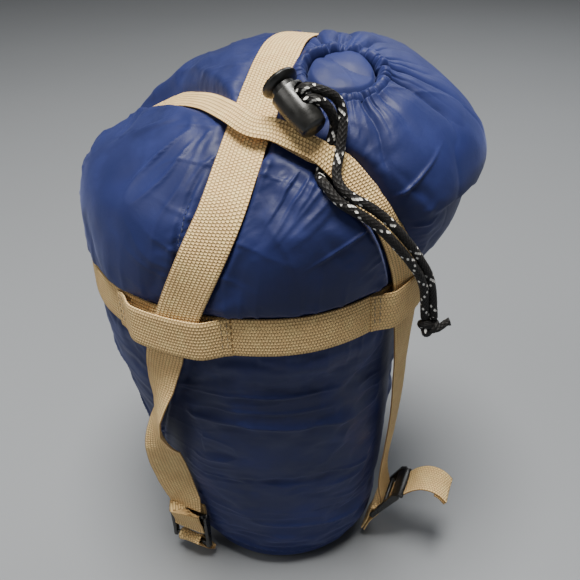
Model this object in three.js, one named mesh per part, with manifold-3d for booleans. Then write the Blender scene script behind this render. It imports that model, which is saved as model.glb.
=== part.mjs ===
// Compression sack: a stuffed drawcord bag with two webbing straps crossed over
// its top, a sliding webbing ring, two ladder-lock buckles and a cord lock.
// Millimetres, +Z up, origin at the centre of the base, -Y is the front.
import * as THREE from 'three';
import { mergeVertices } from 'three/addons/utils/BufferGeometryUtils.js';
import Module from 'manifold-3d';

// ---------------------------------------------------------------- dimensions
const WEB_W = 20;            // webbing width
const WEB_T = 1.2;           // webbing thickness
const WALL = 1.2;            // sack wall, two plies at the seams
const GAP = 0.45;            // clearance between the wall and what is packed inside
const CORD_D = 4;            // drawcord diameter
const LOCK_LEN = 19;         // cord-lock barrel length
const LOCK_R = 7.3;          // cord-lock barrel radius at the plunger end
const LOCK_TRAVEL = 2.5;     // plunger stroke
const BUCKLE_LEN = 28;       // ladder lock, anchor bar to thumb tab
const BUCKLE_IN = 21;        // clear width between the rails
const RAIL = 2.3;            // rail width
const RAIL_H = 3.2;          // rail height
const BAR_MID = 12;          // anchor bar to the bar the strap turns round
const BAR_TOP = 21;          // anchor bar to the upper bar
const BAR_R = 1.4;           // bar radius

// Sections of the stuffed sack from the base centre to the mouth.
// centre x, y, z, slope of the section plane, reach to -x, +x, front, back
const SECTIONS = [
  [0, 0, 0.0, 0, 0, 0, 0, 0],
  [0, 0, 0.0, 0, 22, 22, 22, 22],
  [0, 0, 0.6, 0, 42, 42, 40, 40],
  [0, 0, 6, 0, 51, 53, 49, 49],
  [0, 0, 20, 0, 58, 61, 55, 55],
  [0, 0, 50, 0, 67, 63, 61, 62],
  [0, 0, 90, 0, 77, 65.5, 67, 69],
  [0, 0, 130, 0, 86, 66.5, 73, 74],
  [0, 0, 160, 0, 92, 67.5, 77, 77],
  [0, 0, 185, 0, 95.5, 71, 81, 80],
  [0, 0, 205, 0, 97.5, 78, 84, 82],
  [1, -1, 225, 0.03, 98.5, 87, 85, 84],
  [4, -5, 243, 0.08, 98, 91.5, 82, 87],
  [8, -12, 258, 0.16, 92.5, 90, 75, 89],
  [13, -18, 270, 0.24, 81, 81.5, 66, 82],
  [18, -24, 281, 0.32, 66, 67, 54.5, 66],
  [24, -28, 289.5, 0.38, 51, 47.5, 41, 47],
  [28, -31, 295, 0.43, 35, 30, 28, 30],
  [30, -32, 297, 0.45, 20.5, 18.5, 16.5, 16.5],
];
const BASE_ROW = 3;                       // section of the base seam
const MOUTH_ROW = SECTIONS.length - 1;    // section of the mouth
const RING_Z = 200, RING_TX = 0.03, RING_TY = 0.04;   // plane of the sliding ring

// Strap mid-lines: x, y, z, outward normal, depth of the fabric below the mid-line,
// and, on strap B, how far the webbing is folded lengthwise (1 = flat)
const STRAP_A = [
  [-56.0, -47.6, 48.4, -0.42, -0.91, 0.0, 3],
  [-59.4, -49.0, 58, -0.46, -0.88, 0.0, 3],
  [-65.2, -50.5, 78, -0.72, -0.68, -0.1, 3],
  [-68.5, -57, 104, -0.95, -0.3, -0.1, 3],
  [-68.0, -61.5, 124, -0.97, -0.2, -0.1, 3],
  [-65.5, -66.5, 146, -0.86, -0.5, -0.1, 3],
  [-61.0, -68.6, 163, -0.66, -0.74, -0.12, 3],
  [-53.9, -70.4, 181, -0.49, -0.86, -0.15, 3],
  [-48.4, -73.6, 191.6, -0.43, -0.89, -0.14, 3.2],
  [-43.5, -76.7, 201.3, -0.38, -0.92, -0.1, 3.2],
  [-38.9, -79.2, 214.2, -0.34, -0.94, -0.02, 1.4],
  [-29.5, -81.5, 236.0, -0.28, -0.955, 0.12, 1.2],
  [-20.5, -76.8, 255.0, -0.24, -0.80, 0.55, 1.2],
  [-14.4, -65.2, 269.2, -0.22, -0.67, 0.71, 1.2],
  [-10.1, -54.2, 278.6, -0.22, -0.59, 0.78, 1.2],
  [-5.7, -42.3, 287.7, -0.22, -0.50, 0.84, 1.2],
  [-1.9, -32.0, 295.0, -0.19, -0.40, 0.90, 1.2],
  [2.3, -19.2, 301.6, -0.16, -0.27, 0.95, 1.2],
  [7.5, -3.0, 305.6, -0.12, -0.08, 0.99, 1.2],
  [16, 14, 304.0, 0.06, 0.18, 0.98, 1.2],
  [29.2, 33.5, 295.3, 0.25, 0.42, 0.87, 1.6],
  [42.5, 50.8, 276.8, 0.44, 0.62, 0.65, 1.8],
  [50.5, 61, 253, 0.60, 0.76, 0.25, 1.2],
  [53.6, 63.4, 228, 0.66, 0.75, 0.0, 1.6],
  [52.8, 62.1, 201.5, 0.66, 0.75, -0.03, 3.2],
  [51.6, 60.7, 180, 0.66, 0.75, -0.06, 2.6],
  [48.6, 58.0, 150, 0.66, 0.75, -0.07, 1.4],
  [46.0, 55.0, 110, 0.66, 0.75, -0.07, 1.3],
  [43.2, 51.7, 70, 0.65, 0.76, -0.08, 1.3],
  [39.0, 47.0, 34, 0.63, 0.76, -0.12, 1.3],
  [36.0, 43.6, 17, 0.60, 0.74, -0.3, 1.3],
  [34.2, 41.5, 9.0, 0.58, 0.72, -0.38, 1.3],
];
const STRAP_B = [
  [-49.2, 10.4, 8.8, -0.88, 0.19, -0.42, 1.3, 1],
  [-53.6, 11.2, 17, -0.93, 0.20, -0.3, 1.3, 1],
  [-60.4, 12.4, 34, -0.95, 0.20, -0.22, 1.3, 1],
  [-70.8, 14.2, 70, -0.95, 0.20, -0.2, 1.3, 1],
  [-80.8, 16.0, 110, -0.95, 0.20, -0.2, 1.3, 1],
  [-90.0, 17.6, 150, -0.96, 0.20, -0.16, 1.4, 1],
  [-95.4, 18.5, 180, -0.97, 0.20, -0.08, 2.6, 1],
  [-96.8, 18.8, 202, -0.98, 0.20, -0.02, 3.2, 1],
  [-96.6, 18.8, 226, -0.97, 0.20, 0.10, 1.6, 1],
  [-90.0, 17.8, 246, -0.85, 0.18, 0.49, 1.2, 1],
  [-74.5, 15.5, 262, -0.66, 0.14, 0.73, 1.2, 1],
  [-58, 9.5, 272.5, -0.52, 0.06, 0.85, 1.2, 1],
  [-44.8, -1.5, 279.5, -0.44, -0.08, 0.89, 1.2, 1],
  [-30.6, -18.6, 286.0, -0.38, -0.24, 0.89, 1.2, 1],
  [-18.1, -39.8, 289.5, -0.28, -0.42, 0.86, 2.6, 0.92],
  [-8.4, -54.2, 285.8, -0.20, -0.55, 0.81, 3.6, 0.75],
  [1.5, -61.0, 283.8, -0.12, -0.66, 0.74, 4.5, 0.55],
  [10.6, -65.6, 281.2, -0.02, -0.80, 0.60, 6.3, 0.42],
  [19.1, -68.4, 277.6, 0.04, -0.80, 0.60, 6.6, 0.42],
  [28.2, -69.2, 270.8, 0.10, -0.78, 0.62, 5.0, 0.56],
  [36.6, -70.2, 261.6, 0.2, -0.80, 0.56, 2.2, 0.58],
  [44.6, -70.6, 251.2, 0.34, -0.84, 0.40, 1.4, 0.52],
  [52.2, -66.6, 236.4, 0.50, -0.80, 0.1, 1.4, 0.6],
  [59.2, -57.6, 216.6, 0.66, -0.73, -0.12, 1.8, 0.8],
  [61.4, -52.9, 200.5, 0.76, -0.65, -0.1, 3.2, 1],
  [62.9, -49.6, 182, 0.82, -0.56, -0.1, 3.6, 1],
  [64.2, -43.0, 157, 0.88, -0.47, -0.05, 3.6, 1],
  [65.2, -36.2, 120, 0.91, -0.42, -0.03, 3.6, 1],
  [64.0, -30.6, 85, 0.92, -0.39, -0.04, 3.4, 1],
  [62.6, -27.2, 60, 0.93, -0.36, -0.03, 3.4, 1],
];

// ------------------------------------------------------------------- helpers
const V3 = (x, y, z) => new THREE.Vector3(x, y, z);
const sub = (a, b) => a.map((v, i) => v - b[i]);
const addm = (a, b, s) => a.map((v, i) => v + b[i] * s);
const dot = (a, b) => a[0] * b[0] + a[1] * b[1] + a[2] * b[2];
const cross = (a, b) => [a[1] * b[2] - a[2] * b[1], a[2] * b[0] - a[0] * b[2], a[0] * b[1] - a[1] * b[0]];
const len = (a) => Math.hypot(...a);
const unit = (a) => { const l = len(a) || 1; return a.map((v) => v / l); };

function interpolate(table, t) {          // Catmull-Rom over the rows of a table
  const n = table.length;
  t = Math.min(Math.max(t, 0), n - 1 - 1e-9);
  const i = Math.floor(t), f = t - i, g = (k) => table[Math.min(Math.max(k, 0), n - 1)];
  const [a, b, c, d] = [g(i - 1), g(i), g(i + 1), g(i + 2)];
  return b.map((_, k) => 0.5 * (2 * b[k] + (c[k] - a[k]) * f + (2 * a[k] - 5 * b[k] + 4 * c[k] - d[k]) * f * f + (3 * b[k] - a[k] - 3 * c[k] + d[k]) * f * f * f));
}

function sackPoint(phi, t) {              // un-strapped outer surface
  const q = interpolate(SECTIONS, t), c = Math.cos(phi), s = Math.sin(phi);
  const a = c > 0 ? q[5] : q[4], b = s > 0 ? q[7] : q[6];
  const r = 1 / Math.hypot(c / Math.max(a, 1e-3), s / Math.max(b, 1e-3));
  const k = q[3], w = 1 / Math.hypot(1, k);
  return [q[0] + r * c, q[1] + r * s * w, q[2] + r * s * w * k];
}
function sackNormal(phi, t) {
  const e = 1e-3;
  return unit(cross(sub(sackPoint(phi + e, t), sackPoint(phi - e, t)), sub(sackPoint(phi, t + e), sackPoint(phi, t - e))));
}

function densify(table, per) {            // mid-line samples of a strap
  const out = [];
  for (let i = 0; i <= (table.length - 1) * per; i++) {
    const q = interpolate(table, i / per);
    out.push({ p: q.slice(0, 3), n: unit(q.slice(3, 6)), d: q[6], w: q.length > 7 ? q[7] : 1 });
  }
  return out;
}
const lineA = densify(STRAP_A, 6), lineB = densify(STRAP_B, 6);

const RING_N = 72;                        // ring mid-line, just inside the free surface
function ringRow(phi) {                   // section parameter where the ring plane cuts the sack
  let lo = 8, hi = 12;
  for (let i = 0; i < 30; i++) {
    const m = (lo + hi) / 2, p = sackPoint(phi, m);
    if (p[2] > RING_Z + RING_TX * p[0] + RING_TY * p[1]) hi = m; else lo = m;
  }
  return (lo + hi) / 2;
}
function ringFrame(phi) {
  const t = ringRow(phi), n = sackNormal(phi, t), h = unit([n[0], n[1], 0]);
  return { p: addm(sackPoint(phi, t), h, -0.8), n: h, d: 1.2 };
}
const lineRing = [];
for (let i = 0; i < RING_N; i++) lineRing.push(ringFrame((i / RING_N) * 2 * Math.PI));

function core(p) {                        // outward direction from the sack's own core line
  const z = Math.min(Math.max(p[2], 45), 225), k = Math.max(0, (p[2] - 205) / 92);
  return unit(sub(p, [16 * k, -17 * k, z]));
}
function pressed(p) {                     // the straps and the ring sink into the stuffed fabric
  const FLAT = 19, RISE = 16, REACH = 14, dir = core(p);
  for (let pass = 0; pass < 3; pass++) for (const line of [lineA, lineB, lineRing]) {
    let best = null, bd = 1e9;
    for (const s of line) { const q = sub(p, s.p), d = dot(q, q); if (d < bd) { bd = d; best = s; } }
    const q = sub(p, best.p), h = dot(q, best.n), lat = len(addm(q, best.n, -h));
    const flat = line === lineRing ? 15 : FLAT;
    const lim = -(best.d + 0.55) + RISE * (1 - Math.exp(-Math.max(lat - flat, 0) / REACH));
    if (Math.abs(h) < 30 && h > lim) p = addm(p, dir, (lim - h) / Math.max(dot(best.n, dir), 0.45));
  }
  return p;
}

function mat(color, roughness, metalness = 0) { return new THREE.MeshStandardMaterial({ color, roughness, metalness }); }
const NYLON = mat('#2f4274', 0.5), NYLON_IN = mat('#35487a', 0.55), WEB = mat('#bba684', 0.85), CORD = mat('#17140f', 0.7);
const ACETAL = mat('#1a1a18', 0.35), STEEL = mat('#b9bcc0', 0.3, 1.0), FILL = mat('#34477c', 0.6);
const group = new THREE.Group();
function put(name, geometry, material) {
  const m = new THREE.Mesh(geometry, material);
  m.name = name;
  group.add(m);
  return m;
}

// A closed lathe body whose vertices are moved to place(i, j):
// i = step round the body (0..n-1), j = index along the closed profile.
function wrapped(n, profileCount, place, closedProfile = true) {
  const pts = [];
  for (let j = 0; j < profileCount; j++) {
    const a = (j / profileCount) * 2 * Math.PI;
    pts.push(new THREE.Vector2(50 + 10 * Math.cos(a), 10 * Math.sin(a)));
  }
  if (closedProfile) pts.push(pts[0].clone());
  const g = new THREE.LatheGeometry(pts, n), pos = g.attributes.position, m = pts.length;
  for (let i = 0; i <= n; i++) for (let j = 0; j < m; j++) {
    const q = place(i % n, closedProfile ? j % profileCount : j);
    pos.setXYZ(i * m + j, q[0], q[1], q[2]);
  }
  return tidy(g);
}
// weld, and drop the slivers where a profile meets its own axis
function tidy(g) {
  g.deleteAttribute('normal'); g.deleteAttribute('uv');
  let w = mergeVertices(g, 1e-4);
  const idx = w.index.array, keep = [], pos = w.attributes.position;
  for (let k = 0; k < idx.length; k += 3) {
    const [a, b, c] = [idx[k], idx[k + 1], idx[k + 2]];
    if (a !== b && b !== c && a !== c) keep.push(a, b, c);
  }
  let vol = 0;
  const P = (i) => [pos.getX(i), pos.getY(i), pos.getZ(i)];
  for (let k = 0; k < keep.length; k += 3) vol += dot(P(keep[k]), cross(P(keep[k + 1]), P(keep[k + 2])));
  if (vol < 0) for (let k = 0; k < keep.length; k += 3) [keep[k], keep[k + 1]] = [keep[k + 1], keep[k]];
  w.setIndex(keep);
  w.computeVertexNormals();
  return w;
}

// ------------------------------------------------ sack wall, base, contents
const NPHI = 44;
const WALL_ROWS = [3.12, 3.6, 4, 4.6, 5.2, 5.8, 6.4, 7, 7.6, 8.2, 8.7, 9.15, 9.6, 10, 10.5, 11, 11.5, 12, 12.5, 13, 13.5, 14, 14.5, 15, 15.5, 16, 16.6, 17.2, 17.75];
const BASE_ROWS = [0, 0.6, 1.2, 1.8, 2.3, 2.7, 3.0];
function fabricGrid(rows) {
  const grid = rows.map((t) => Array.from({ length: NPHI }, (_, i) => {
    const phi = (i / NPHI) * 2 * Math.PI;
    return t < 0.01 ? [0, 0, 0] : (t < 3.05 ? sackPoint(phi, t) : pressed(sackPoint(phi, t)));
  }));
  return grid;
}
const wall = fabricGrid(WALL_ROWS), base = fabricGrid(BASE_ROWS);
const off = (p, s) => addm(p, core(p), -s);

// side wall: one tube of fabric, open at the base seam and at the mouth
put('sack_side_wall', wrapped(NPHI, 2 * WALL_ROWS.length, (i, j) => {
  const m = WALL_ROWS.length;
  return j < m ? wall[j][i] : off(wall[2 * m - 1 - j][i], WALL);
}), NYLON);

// base panel: a round dish of fabric sewn to the lower edge of the wall
{
  const m = BASE_ROWS.length;
  const place = (i, j) => {
    const inner = j >= m, r = inner ? 2 * m - 1 - j : j;
    if (r === 0) return inner ? [0, 0, WALL] : [0, 0, 0];
    const p = base[r][i];
    if (!inner) return [p[0], p[1], Math.max(p[2], 0)];
    const k = 1 - WALL / Math.hypot(p[0], p[1]);
    return [p[0] * k, p[1] * k, p[2] + WALL * (r === m - 1 ? 0 : Math.max(0, 1 - (r / (m - 1)) ** 3))];
  };
  put('sack_base_panel', wrapped(NPHI, 2 * m, place, false), NYLON);
}

// what is packed inside: fills the sack and shows as a smooth bulge in the mouth
{
  const skin = WALL + GAP, cap = 5;
  const rows = [];
  for (let r = 1; r < BASE_ROWS.length - 1; r++) rows.push(base[r].map((p) => {
    const k = 1 - (skin + 0.35) / Math.hypot(p[0], p[1]);
    return [p[0] * k, p[1] * k, Math.max(p[2], 0) + skin + 0.25];
  }));
  for (let r = 0; r < WALL_ROWS.length; r++) rows.push(wall[r].map((p) => off(p, skin + 0.3)));
  const c = [30, -32, 291.5], last = rows[rows.length - 1];
  for (const [s, dz] of [[0.88, -2.2], [0.62, -1.2], [0.35, 1.0]]) rows.push(last.map((p) => [c[0] + (p[0] - c[0]) * s, c[1] + (p[1] - c[1]) * s, p[2] * s + 291.5 * (1 - s) + dz]));
  const n = rows.length;
  put('packed_contents', wrapped(NPHI, n + 2, (i, jj) => {
    const j = n + 1 - jj;
    if (j === 0) return [0, 0, skin + 0.25];
    if (j === n + 1) return [c[0], c[1], 294.6];
    return rows[j - 1][i];
  }, false), FILL);
}

// --------------------------------------------------- mouth channel and cord
// A sewn channel round the mouth, open by a slit on its inner side.
const MOUTH = SECTIONS[MOUTH_ROW];
const MC = [MOUTH[0], MOUTH[1], MOUTH[2]], MK = MOUTH[3];
const mouthX = [1, 0, 0], mouthY = unit([0, 1, MK]), mouthN = unit([0, -MK, 1]);
const CH_RX = 17.5, CH_RY = 15.5, CH_R = 3.5, CH_WALL = 0.9, CH_LIFT = 2.2;
function mouthPoint(phi, out, up) {
  const c = Math.cos(phi), s = Math.sin(phi), n = unit([c / CH_RX, s / CH_RY, 0]);
  let p = addm(MC, mouthX, CH_RX * c + n[0] * out);
  p = addm(p, mouthY, CH_RY * s + n[1] * out);
  return addm(p, mouthN, CH_LIFT + up);
}
{
  const prof = [], a0 = Math.PI - 0.5, a1 = -Math.PI + 0.5, k = 9;
  for (let i = 0; i <= k; i++) { const a = a0 + ((a1 - a0) * i) / k; prof.push([CH_R * Math.cos(a), CH_R * Math.sin(a)]); }
  for (let i = k; i >= 0; i--) { const a = a0 + ((a1 - a0) * i) / k; prof.push([(CH_R - CH_WALL) * Math.cos(a), (CH_R - CH_WALL) * Math.sin(a)]); }
  const n = 40;
  put('drawcord_channel', wrapped(n, prof.length, (i, j) => mouthPoint((i / n) * 2 * Math.PI, prof[j][0], prof[j][1])), NYLON_IN);
}
{
  const n = 36, k = 8, r = CORD_D / 2;
  put('drawcord_loop', wrapped(n, k, (i, j) => mouthPoint((i / n) * 2 * Math.PI, r * Math.cos((j / k) * 2 * Math.PI), r * Math.sin((j / k) * 2 * Math.PI))), CORD);
}

// ------------------------------------------------------------------ webbing
// A strip of webbing bent along a mid-line of {p, n} samples.
function strip(line, width = WEB_W, thick = WEB_T, closed = false) {
  const m = line.length;
  const g = new THREE.BoxGeometry(1, 1, 1, closed ? m : m - 1, 1, 1), pos = g.attributes.position;
  const T = line.map((s, i) => {
    const a = line[closed ? (i + m - 1) % m : Math.max(i - 1, 0)].p, b = line[closed ? (i + 1) % m : Math.min(i + 1, m - 1)].p;
    return unit(sub(b, a));
  });
  const steps = closed ? m : m - 1;
  for (let v = 0; v < pos.count; v++) {
    const i = Math.round((pos.getX(v) + 0.5) * steps) % m;
    const t = T[i], w = unit(cross(t, line[i].n)), n = unit(cross(w, t));
    const q = addm(addm(line[i].p, w, Math.sign(pos.getY(v)) * width * (line[i].w ?? 1) / 2), n, Math.sign(pos.getZ(v)) * thick / 2);
    pos.setXYZ(v, q[0], q[1], q[2]);
  }
  if (closed) {                           // the two end caps of a closed band meet and are dropped
    const idx = g.index.array, keep = [], st = steps;
    const src = new THREE.BoxGeometry(1, 1, 1, st, 1, 1).attributes.position;
    for (let k = 0; k < idx.length; k += 3) {
      const xs = [idx[k], idx[k + 1], idx[k + 2]].map((v) => src.getX(v));
      if (xs.every((x) => x === xs[0])) continue;
      keep.push(idx[k], idx[k + 1], idx[k + 2]);
    }
    g.setIndex(keep);
  }
  return tidy(g);
}
const every = (line, k) => line.filter((_, i) => i % k === 0 || i === line.length - 1);
put('strap_a', strip(every(lineA, 3)), WEB);
put('strap_b', strip(every(lineB, 3)), WEB);
put('compression_ring_band', strip(lineRing, WEB_W, WEB_T, true), WEB);

// keepers: short pieces sewn on the ring, each leg runs between keeper and ring
function keeper(name, phiC, half, rise = 5.6) {
  const line = [], n = 16;
  for (let i = 0; i <= n; i++) {
    const f = -1 + (2 * i) / n, s = ringFrame(phiC + f * half);
    const lift = 1.55 + (rise - 1.55) * Math.min(1, Math.max(0, (1 - Math.abs(f)) / 0.22)) ** 0.8;
    line.push({ p: addm(s.p, s.n, lift), n: s.n });
  }
  put(name, strip(line), WEB);
}
const azOf = (p) => Math.atan2(p[1], p[0]);
const AZ = { fl: azOf([-43.7, -77.0]), br: azOf([54.6, 64.3]), lr: azOf([-98.6, 19.2]), r: azOf([62.2, -53.4]) };
keeper('ring_keeper_front_left', AZ.fl - 0.06, 0.35, 6.2);
keeper('ring_keeper_back_right', AZ.br, 0.225);
keeper('ring_keeper_left_rear', AZ.lr, 0.205, 5.8);
keeper('ring_keeper_right', AZ.r, 0.28, 6.8);

// --------------------------------------------------------- ladder-lock frame
const wasm = await Module();
wasm.setup();
function solid(g) {
  const h = g.index ? g.clone() : g;
  h.deleteAttribute('normal'); h.deleteAttribute('uv');
  const w = mergeVertices(h, 1e-4);
  return new wasm.Manifold(new wasm.Mesh({ numProp: 3, vertProperties: Float32Array.from(w.attributes.position.array), triVerts: Uint32Array.from(w.index.array) }));
}
function fromSolid(s) {
  const m = s.getMesh(), g = new THREE.BufferGeometry();
  g.setAttribute('position', new THREE.BufferAttribute(Float32Array.from(m.vertProperties), 3));
  g.setIndex(Array.from(m.triVerts));
  g.computeVertexNormals();
  return g;
}
// local frame: X along the bars, Y from the anchor bar to the thumb tab, Z outward
function ladderLock() {
  const half = BUCKLE_IN / 2 + RAIL / 2;
  let s = null;
  for (const side of [-1, 1]) {           // side rails with a raised shoulder at the upper bar
    const sh = new THREE.Shape();
    sh.moveTo(-2.2, -RAIL_H / 2); sh.lineTo(BAR_TOP + 3, -RAIL_H / 2); sh.lineTo(BAR_TOP + 5.5, 0.6);
    sh.lineTo(BAR_TOP + 4, RAIL_H / 2 + 1.2); sh.lineTo(BAR_TOP - 4, RAIL_H / 2 + 0.6); sh.lineTo(4, RAIL_H / 2 - 0.2); sh.lineTo(-2.2, RAIL_H / 2 - 0.2);
    sh.closePath();
    const g = new THREE.ExtrudeGeometry(sh, { depth: RAIL, bevelEnabled: false });
    // shape x -> local Y, shape y -> local Z, depth -> local X
    g.applyMatrix4(new THREE.Matrix4().set(0, 0, 1, side * half - RAIL / 2, 1, 0, 0, 0, 0, 1, 0, 0, 0, 0, 0, 1));
    const m = solid(g);
    s = s ? s.add(m) : m;
  }
  const bar = (y, z, r) => {
    const g = new THREE.CylinderGeometry(r, r, BUCKLE_IN + RAIL, 10);
    g.rotateZ(Math.PI / 2); g.translate(0, y, z);
    return solid(g);
  };
  s = s.add(bar(0, 0, BAR_R)).add(bar(BAR_MID, 0, BAR_R)).add(bar(BAR_TOP, 0.3, BAR_R));
  const lip = new THREE.Shape();          // thumb tab curling outward
  lip.moveTo(BAR_TOP, -0.9); lip.lineTo(BAR_TOP + 3.5, -0.7); lip.lineTo(BUCKLE_LEN - 1.2, 1.0); lip.lineTo(BUCKLE_LEN, 3.6);
  lip.lineTo(BUCKLE_LEN - 1.6, 4.2); lip.lineTo(BUCKLE_LEN - 2.8, 2.4); lip.lineTo(BAR_TOP + 2.5, 1.3); lip.lineTo(BAR_TOP, 1.2);
  lip.closePath();
  const tab = new THREE.ExtrudeGeometry(lip, { depth: BUCKLE_IN + RAIL, bevelEnabled: false });
  tab.applyMatrix4(new THREE.Matrix4().set(0, 0, 1, -(BUCKLE_IN + RAIL) / 2, 1, 0, 0, 0, 0, 1, 0, 0, 0, 0, 0, 1));
  return fromSolid(s.add(solid(tab)));
}
// placement of a buckle: anchor bar centre, bar axis, direction to the thumb tab
function frameOf(o, x, y) { const z = unit(cross(x, y)), yy = unit(cross(z, x)); return { o, x: unit(x), y: yy, z }; }
const FL = frameOf([-54.8, -43.6, 15.6], [0.906, -0.423, 0], [0.02, 0.0, 1]);
const RT = frameOf([61.6, -25.4, 27], [0.36, 0.93, 0], [0.47, -0.18, 0.88]);
const local = (f, x, y, z) => addm(addm(addm(f.o, f.x, x), f.y, y), f.z, z);
const matrixOf = (f) => new THREE.Matrix4().makeBasis(V3(...f.x), V3(...f.y), V3(...f.z)).setPosition(...f.o);
for (const [name, f] of [['ladder_lock_front_left', FL], ['ladder_lock_right', RT]]) {
  const m = put(name, ladderLock(), ACETAL);
  m.applyMatrix4(matrixOf(f));
}

// webbing drawn in a buckle's own plane: rows of local y, z
function planar(f, rows, per = 3, wid = WEB_W) {
  const pts = densify(rows.map(([y, z]) => [...local(f, 0, y, z), 0, 0, 0, 0]), per).map((s) => ({ p: s.p }));
  pts.forEach((s, i) => {
    const a = pts[Math.max(i - 1, 0)].p, b = pts[Math.min(i + 1, pts.length - 1)].p;
    s.n = unit(cross(f.x, unit(sub(b, a))));
  });
  return strip(pts, wid);
}
const TURN = BAR_R + 0.4 + WEB_T / 2;     // mid-line radius of webbing round a bar
const arc = (y0, z0, r, a, b, n) => Array.from({ length: n + 1 }, (_, i) => { const q = a + ((b - a) * i) / n; return [y0 + r * Math.cos(q), z0 + r * Math.sin(q)]; });
// front left: the strap comes down outside the frame, turns round the middle bar, short tail behind
put('strap_a_tail', planar(FL, [[29.9, 4.9], [27, 5.6], [22, 4.7], [17, 3.0], ...arc(BAR_MID, 0, TURN, 1.1, 5.2, 7), [17, -2.7], [22, -2.9], [27, -2.6], [31, -2.0]]), WEB);
// right: the strap comes down behind the frame, turns round the middle bar and comes out in front
put('strap_b_turn', planar(RT, [[28.5, -14.5], [23, -11.4], [17, -7.0], [13.6, -3.9], ...arc(BAR_MID, 0, TURN, -1.9, -Math.PI * 2 + 1.1, 7), [16.5, 2.7], [20, 3.1]]), WEB);
put('strap_b_tail', planar(RT, [[20.4, 3.15], [24, 4.2], [28, 6.2], [32.5, 8.6], [36.5, 12.5], [38, 17.5], [36.5, 24], [32, 31]]), WEB);

// anchor tabs: a loop of webbing from the base seam round each anchor bar
function tab(name, f, seam, seamN, mid, width = WEB_W) {
  const r = TURN, rows = [];
  const up = unit(sub(f.o, mid)), out = unit(sub(seamN, up.map((v) => v * dot(seamN, up))));
  const g = (p, s) => addm(p, out, s);
  const P = [addm(seam, seamN, 0.95), addm(mid, out, -0.85)];
  const loop = [];
  for (let i = 0; i <= 6; i++) { const a = -0.5 * Math.PI - 0.25 + ((Math.PI + 0.5) * i) / 6; loop.push(addm(addm(f.o, up, (r + 0.1) * Math.cos(a)), out, (r + 0.1) * Math.sin(a))); }
  const Q = [addm(mid, out, 0.85), addm(seam, seamN, 2.75)];
  const pts = densify([...P, ...loop, ...Q].map((p) => [...p, 0, 0, 0, 0]), 2);
  pts.forEach((s, i) => {
    const a = pts[Math.max(i - 1, 0)].p, b = pts[Math.min(i + 1, pts.length - 1)].p;
    s.n = unit(cross(f.x, unit(sub(b, a))));
  });
  put(name, strip(pts, width), WEB);
}
tab('anchor_tab_right', RT, [54.0, -22.2, 8.5], [0.86, -0.36, -0.36], [58.6, -24.0, 17.5]);
tab('anchor_tab_front_left', FL, [-45.2, -37.8, 6.6], [-0.3, -0.65, -0.7], [-50.4, -42.0, 8.6], 15);

// ---------------------------------------------------------------- cord lock
// local frame: Y from the closed end to the plunger head, Z through the cord hole
const LOCK_E = [17.8, -69.8, 287.6], LOCK_S = [5.6, -56.8, 299.8];
const ly = unit(sub(LOCK_S, LOCK_E)), lz0 = [0.34, -0.40, 0.85];
const lz = unit(sub(lz0, ly.map((v) => v * dot(lz0, ly)))), lx = cross(ly, lz);
const LOCK = { o: LOCK_E, x: lx, y: ly, z: lz };
const HOLE_Y = 12.3;                      // cord hole, from the closed end
const CORD_X = 2.2;                       // each strand from the middle of the hole
function lathe(profile, seg = 20) { return new THREE.LatheGeometry(profile.map(([r, y]) => new THREE.Vector2(r, y)), seg); }
function cordHole(y0, y1, h) {            // oblong hole for two cords side by side
  const s = new THREE.Shape();
  s.absarc(0, y1, h, 0, Math.PI, false); s.absarc(0, y0, h, Math.PI, 2 * Math.PI, false); s.closePath();
  const g = new THREE.ExtrudeGeometry(s, { depth: 30, bevelEnabled: false, curveSegments: 6 });
  g.translate(0, 0, -15);
  return solid(g);
}
{
  const barrel = solid(lathe([[0, 0], [4.4, 0], [5.6, 0.9], [6.9, 7], [LOCK_R, LOCK_LEN], [5.7, LOCK_LEN], [5.7, 3.3], [4.4, 1.6], [0, 1.6]]));
  const flare = (y) => solid(new THREE.SphereGeometry(3.5, 14, 10)).translate([1.7, y, LOCK_R - 0.2]);   // rounded lip where the cords turn out
  put('cord_lock_barrel', fromSolid(barrel.subtract(cordHole(HOLE_Y - CORD_X, HOLE_Y + CORD_X, 2.7)).subtract(flare(HOLE_Y - CORD_X)).subtract(flare(HOLE_Y + CORD_X))), ACETAL).applyMatrix4(matrixOf(LOCK));
  const head = solid(lathe([[0, 9.2], [3.9, 9.2], [3.9, 6.2], [5.3, 6.2], [5.3, LOCK_LEN + 3.0], [7.2, LOCK_LEN + 3.8], [8.1, LOCK_LEN + 5.2], [7.7, LOCK_LEN + 6.4], [5.4, LOCK_LEN + 5.9], [0, LOCK_LEN + 5.5]]));
  const slot = cordHole(HOLE_Y - CORD_X, HOLE_Y + CORD_X + LOCK_TRAVEL, 2.5);
  put('cord_lock_plunger', fromSolid(head.subtract(slot)), ACETAL).applyMatrix4(matrixOf(LOCK));
  const pts = [], turns = 3.5, n = 36, r = 3.2, y0 = 2.2, y1 = 5.8;
  for (let i = 0; i <= n; i++) { const a = (i / n) * turns * 2 * Math.PI; pts.push(V3(r * Math.cos(a), y0 + ((y1 - y0) * i) / n, r * Math.sin(a))); }
  const sec = new THREE.Shape(); sec.absarc(0, 0, 0.28, 0, 2 * Math.PI, false);
  put('cord_lock_spring', new THREE.ExtrudeGeometry(sec, { steps: 44, curveSegments: 3, bevelEnabled: false, extrudePath: new THREE.CatmullRomCurve3(pts) }), STEEL).applyMatrix4(matrixOf(LOCK));
}

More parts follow.
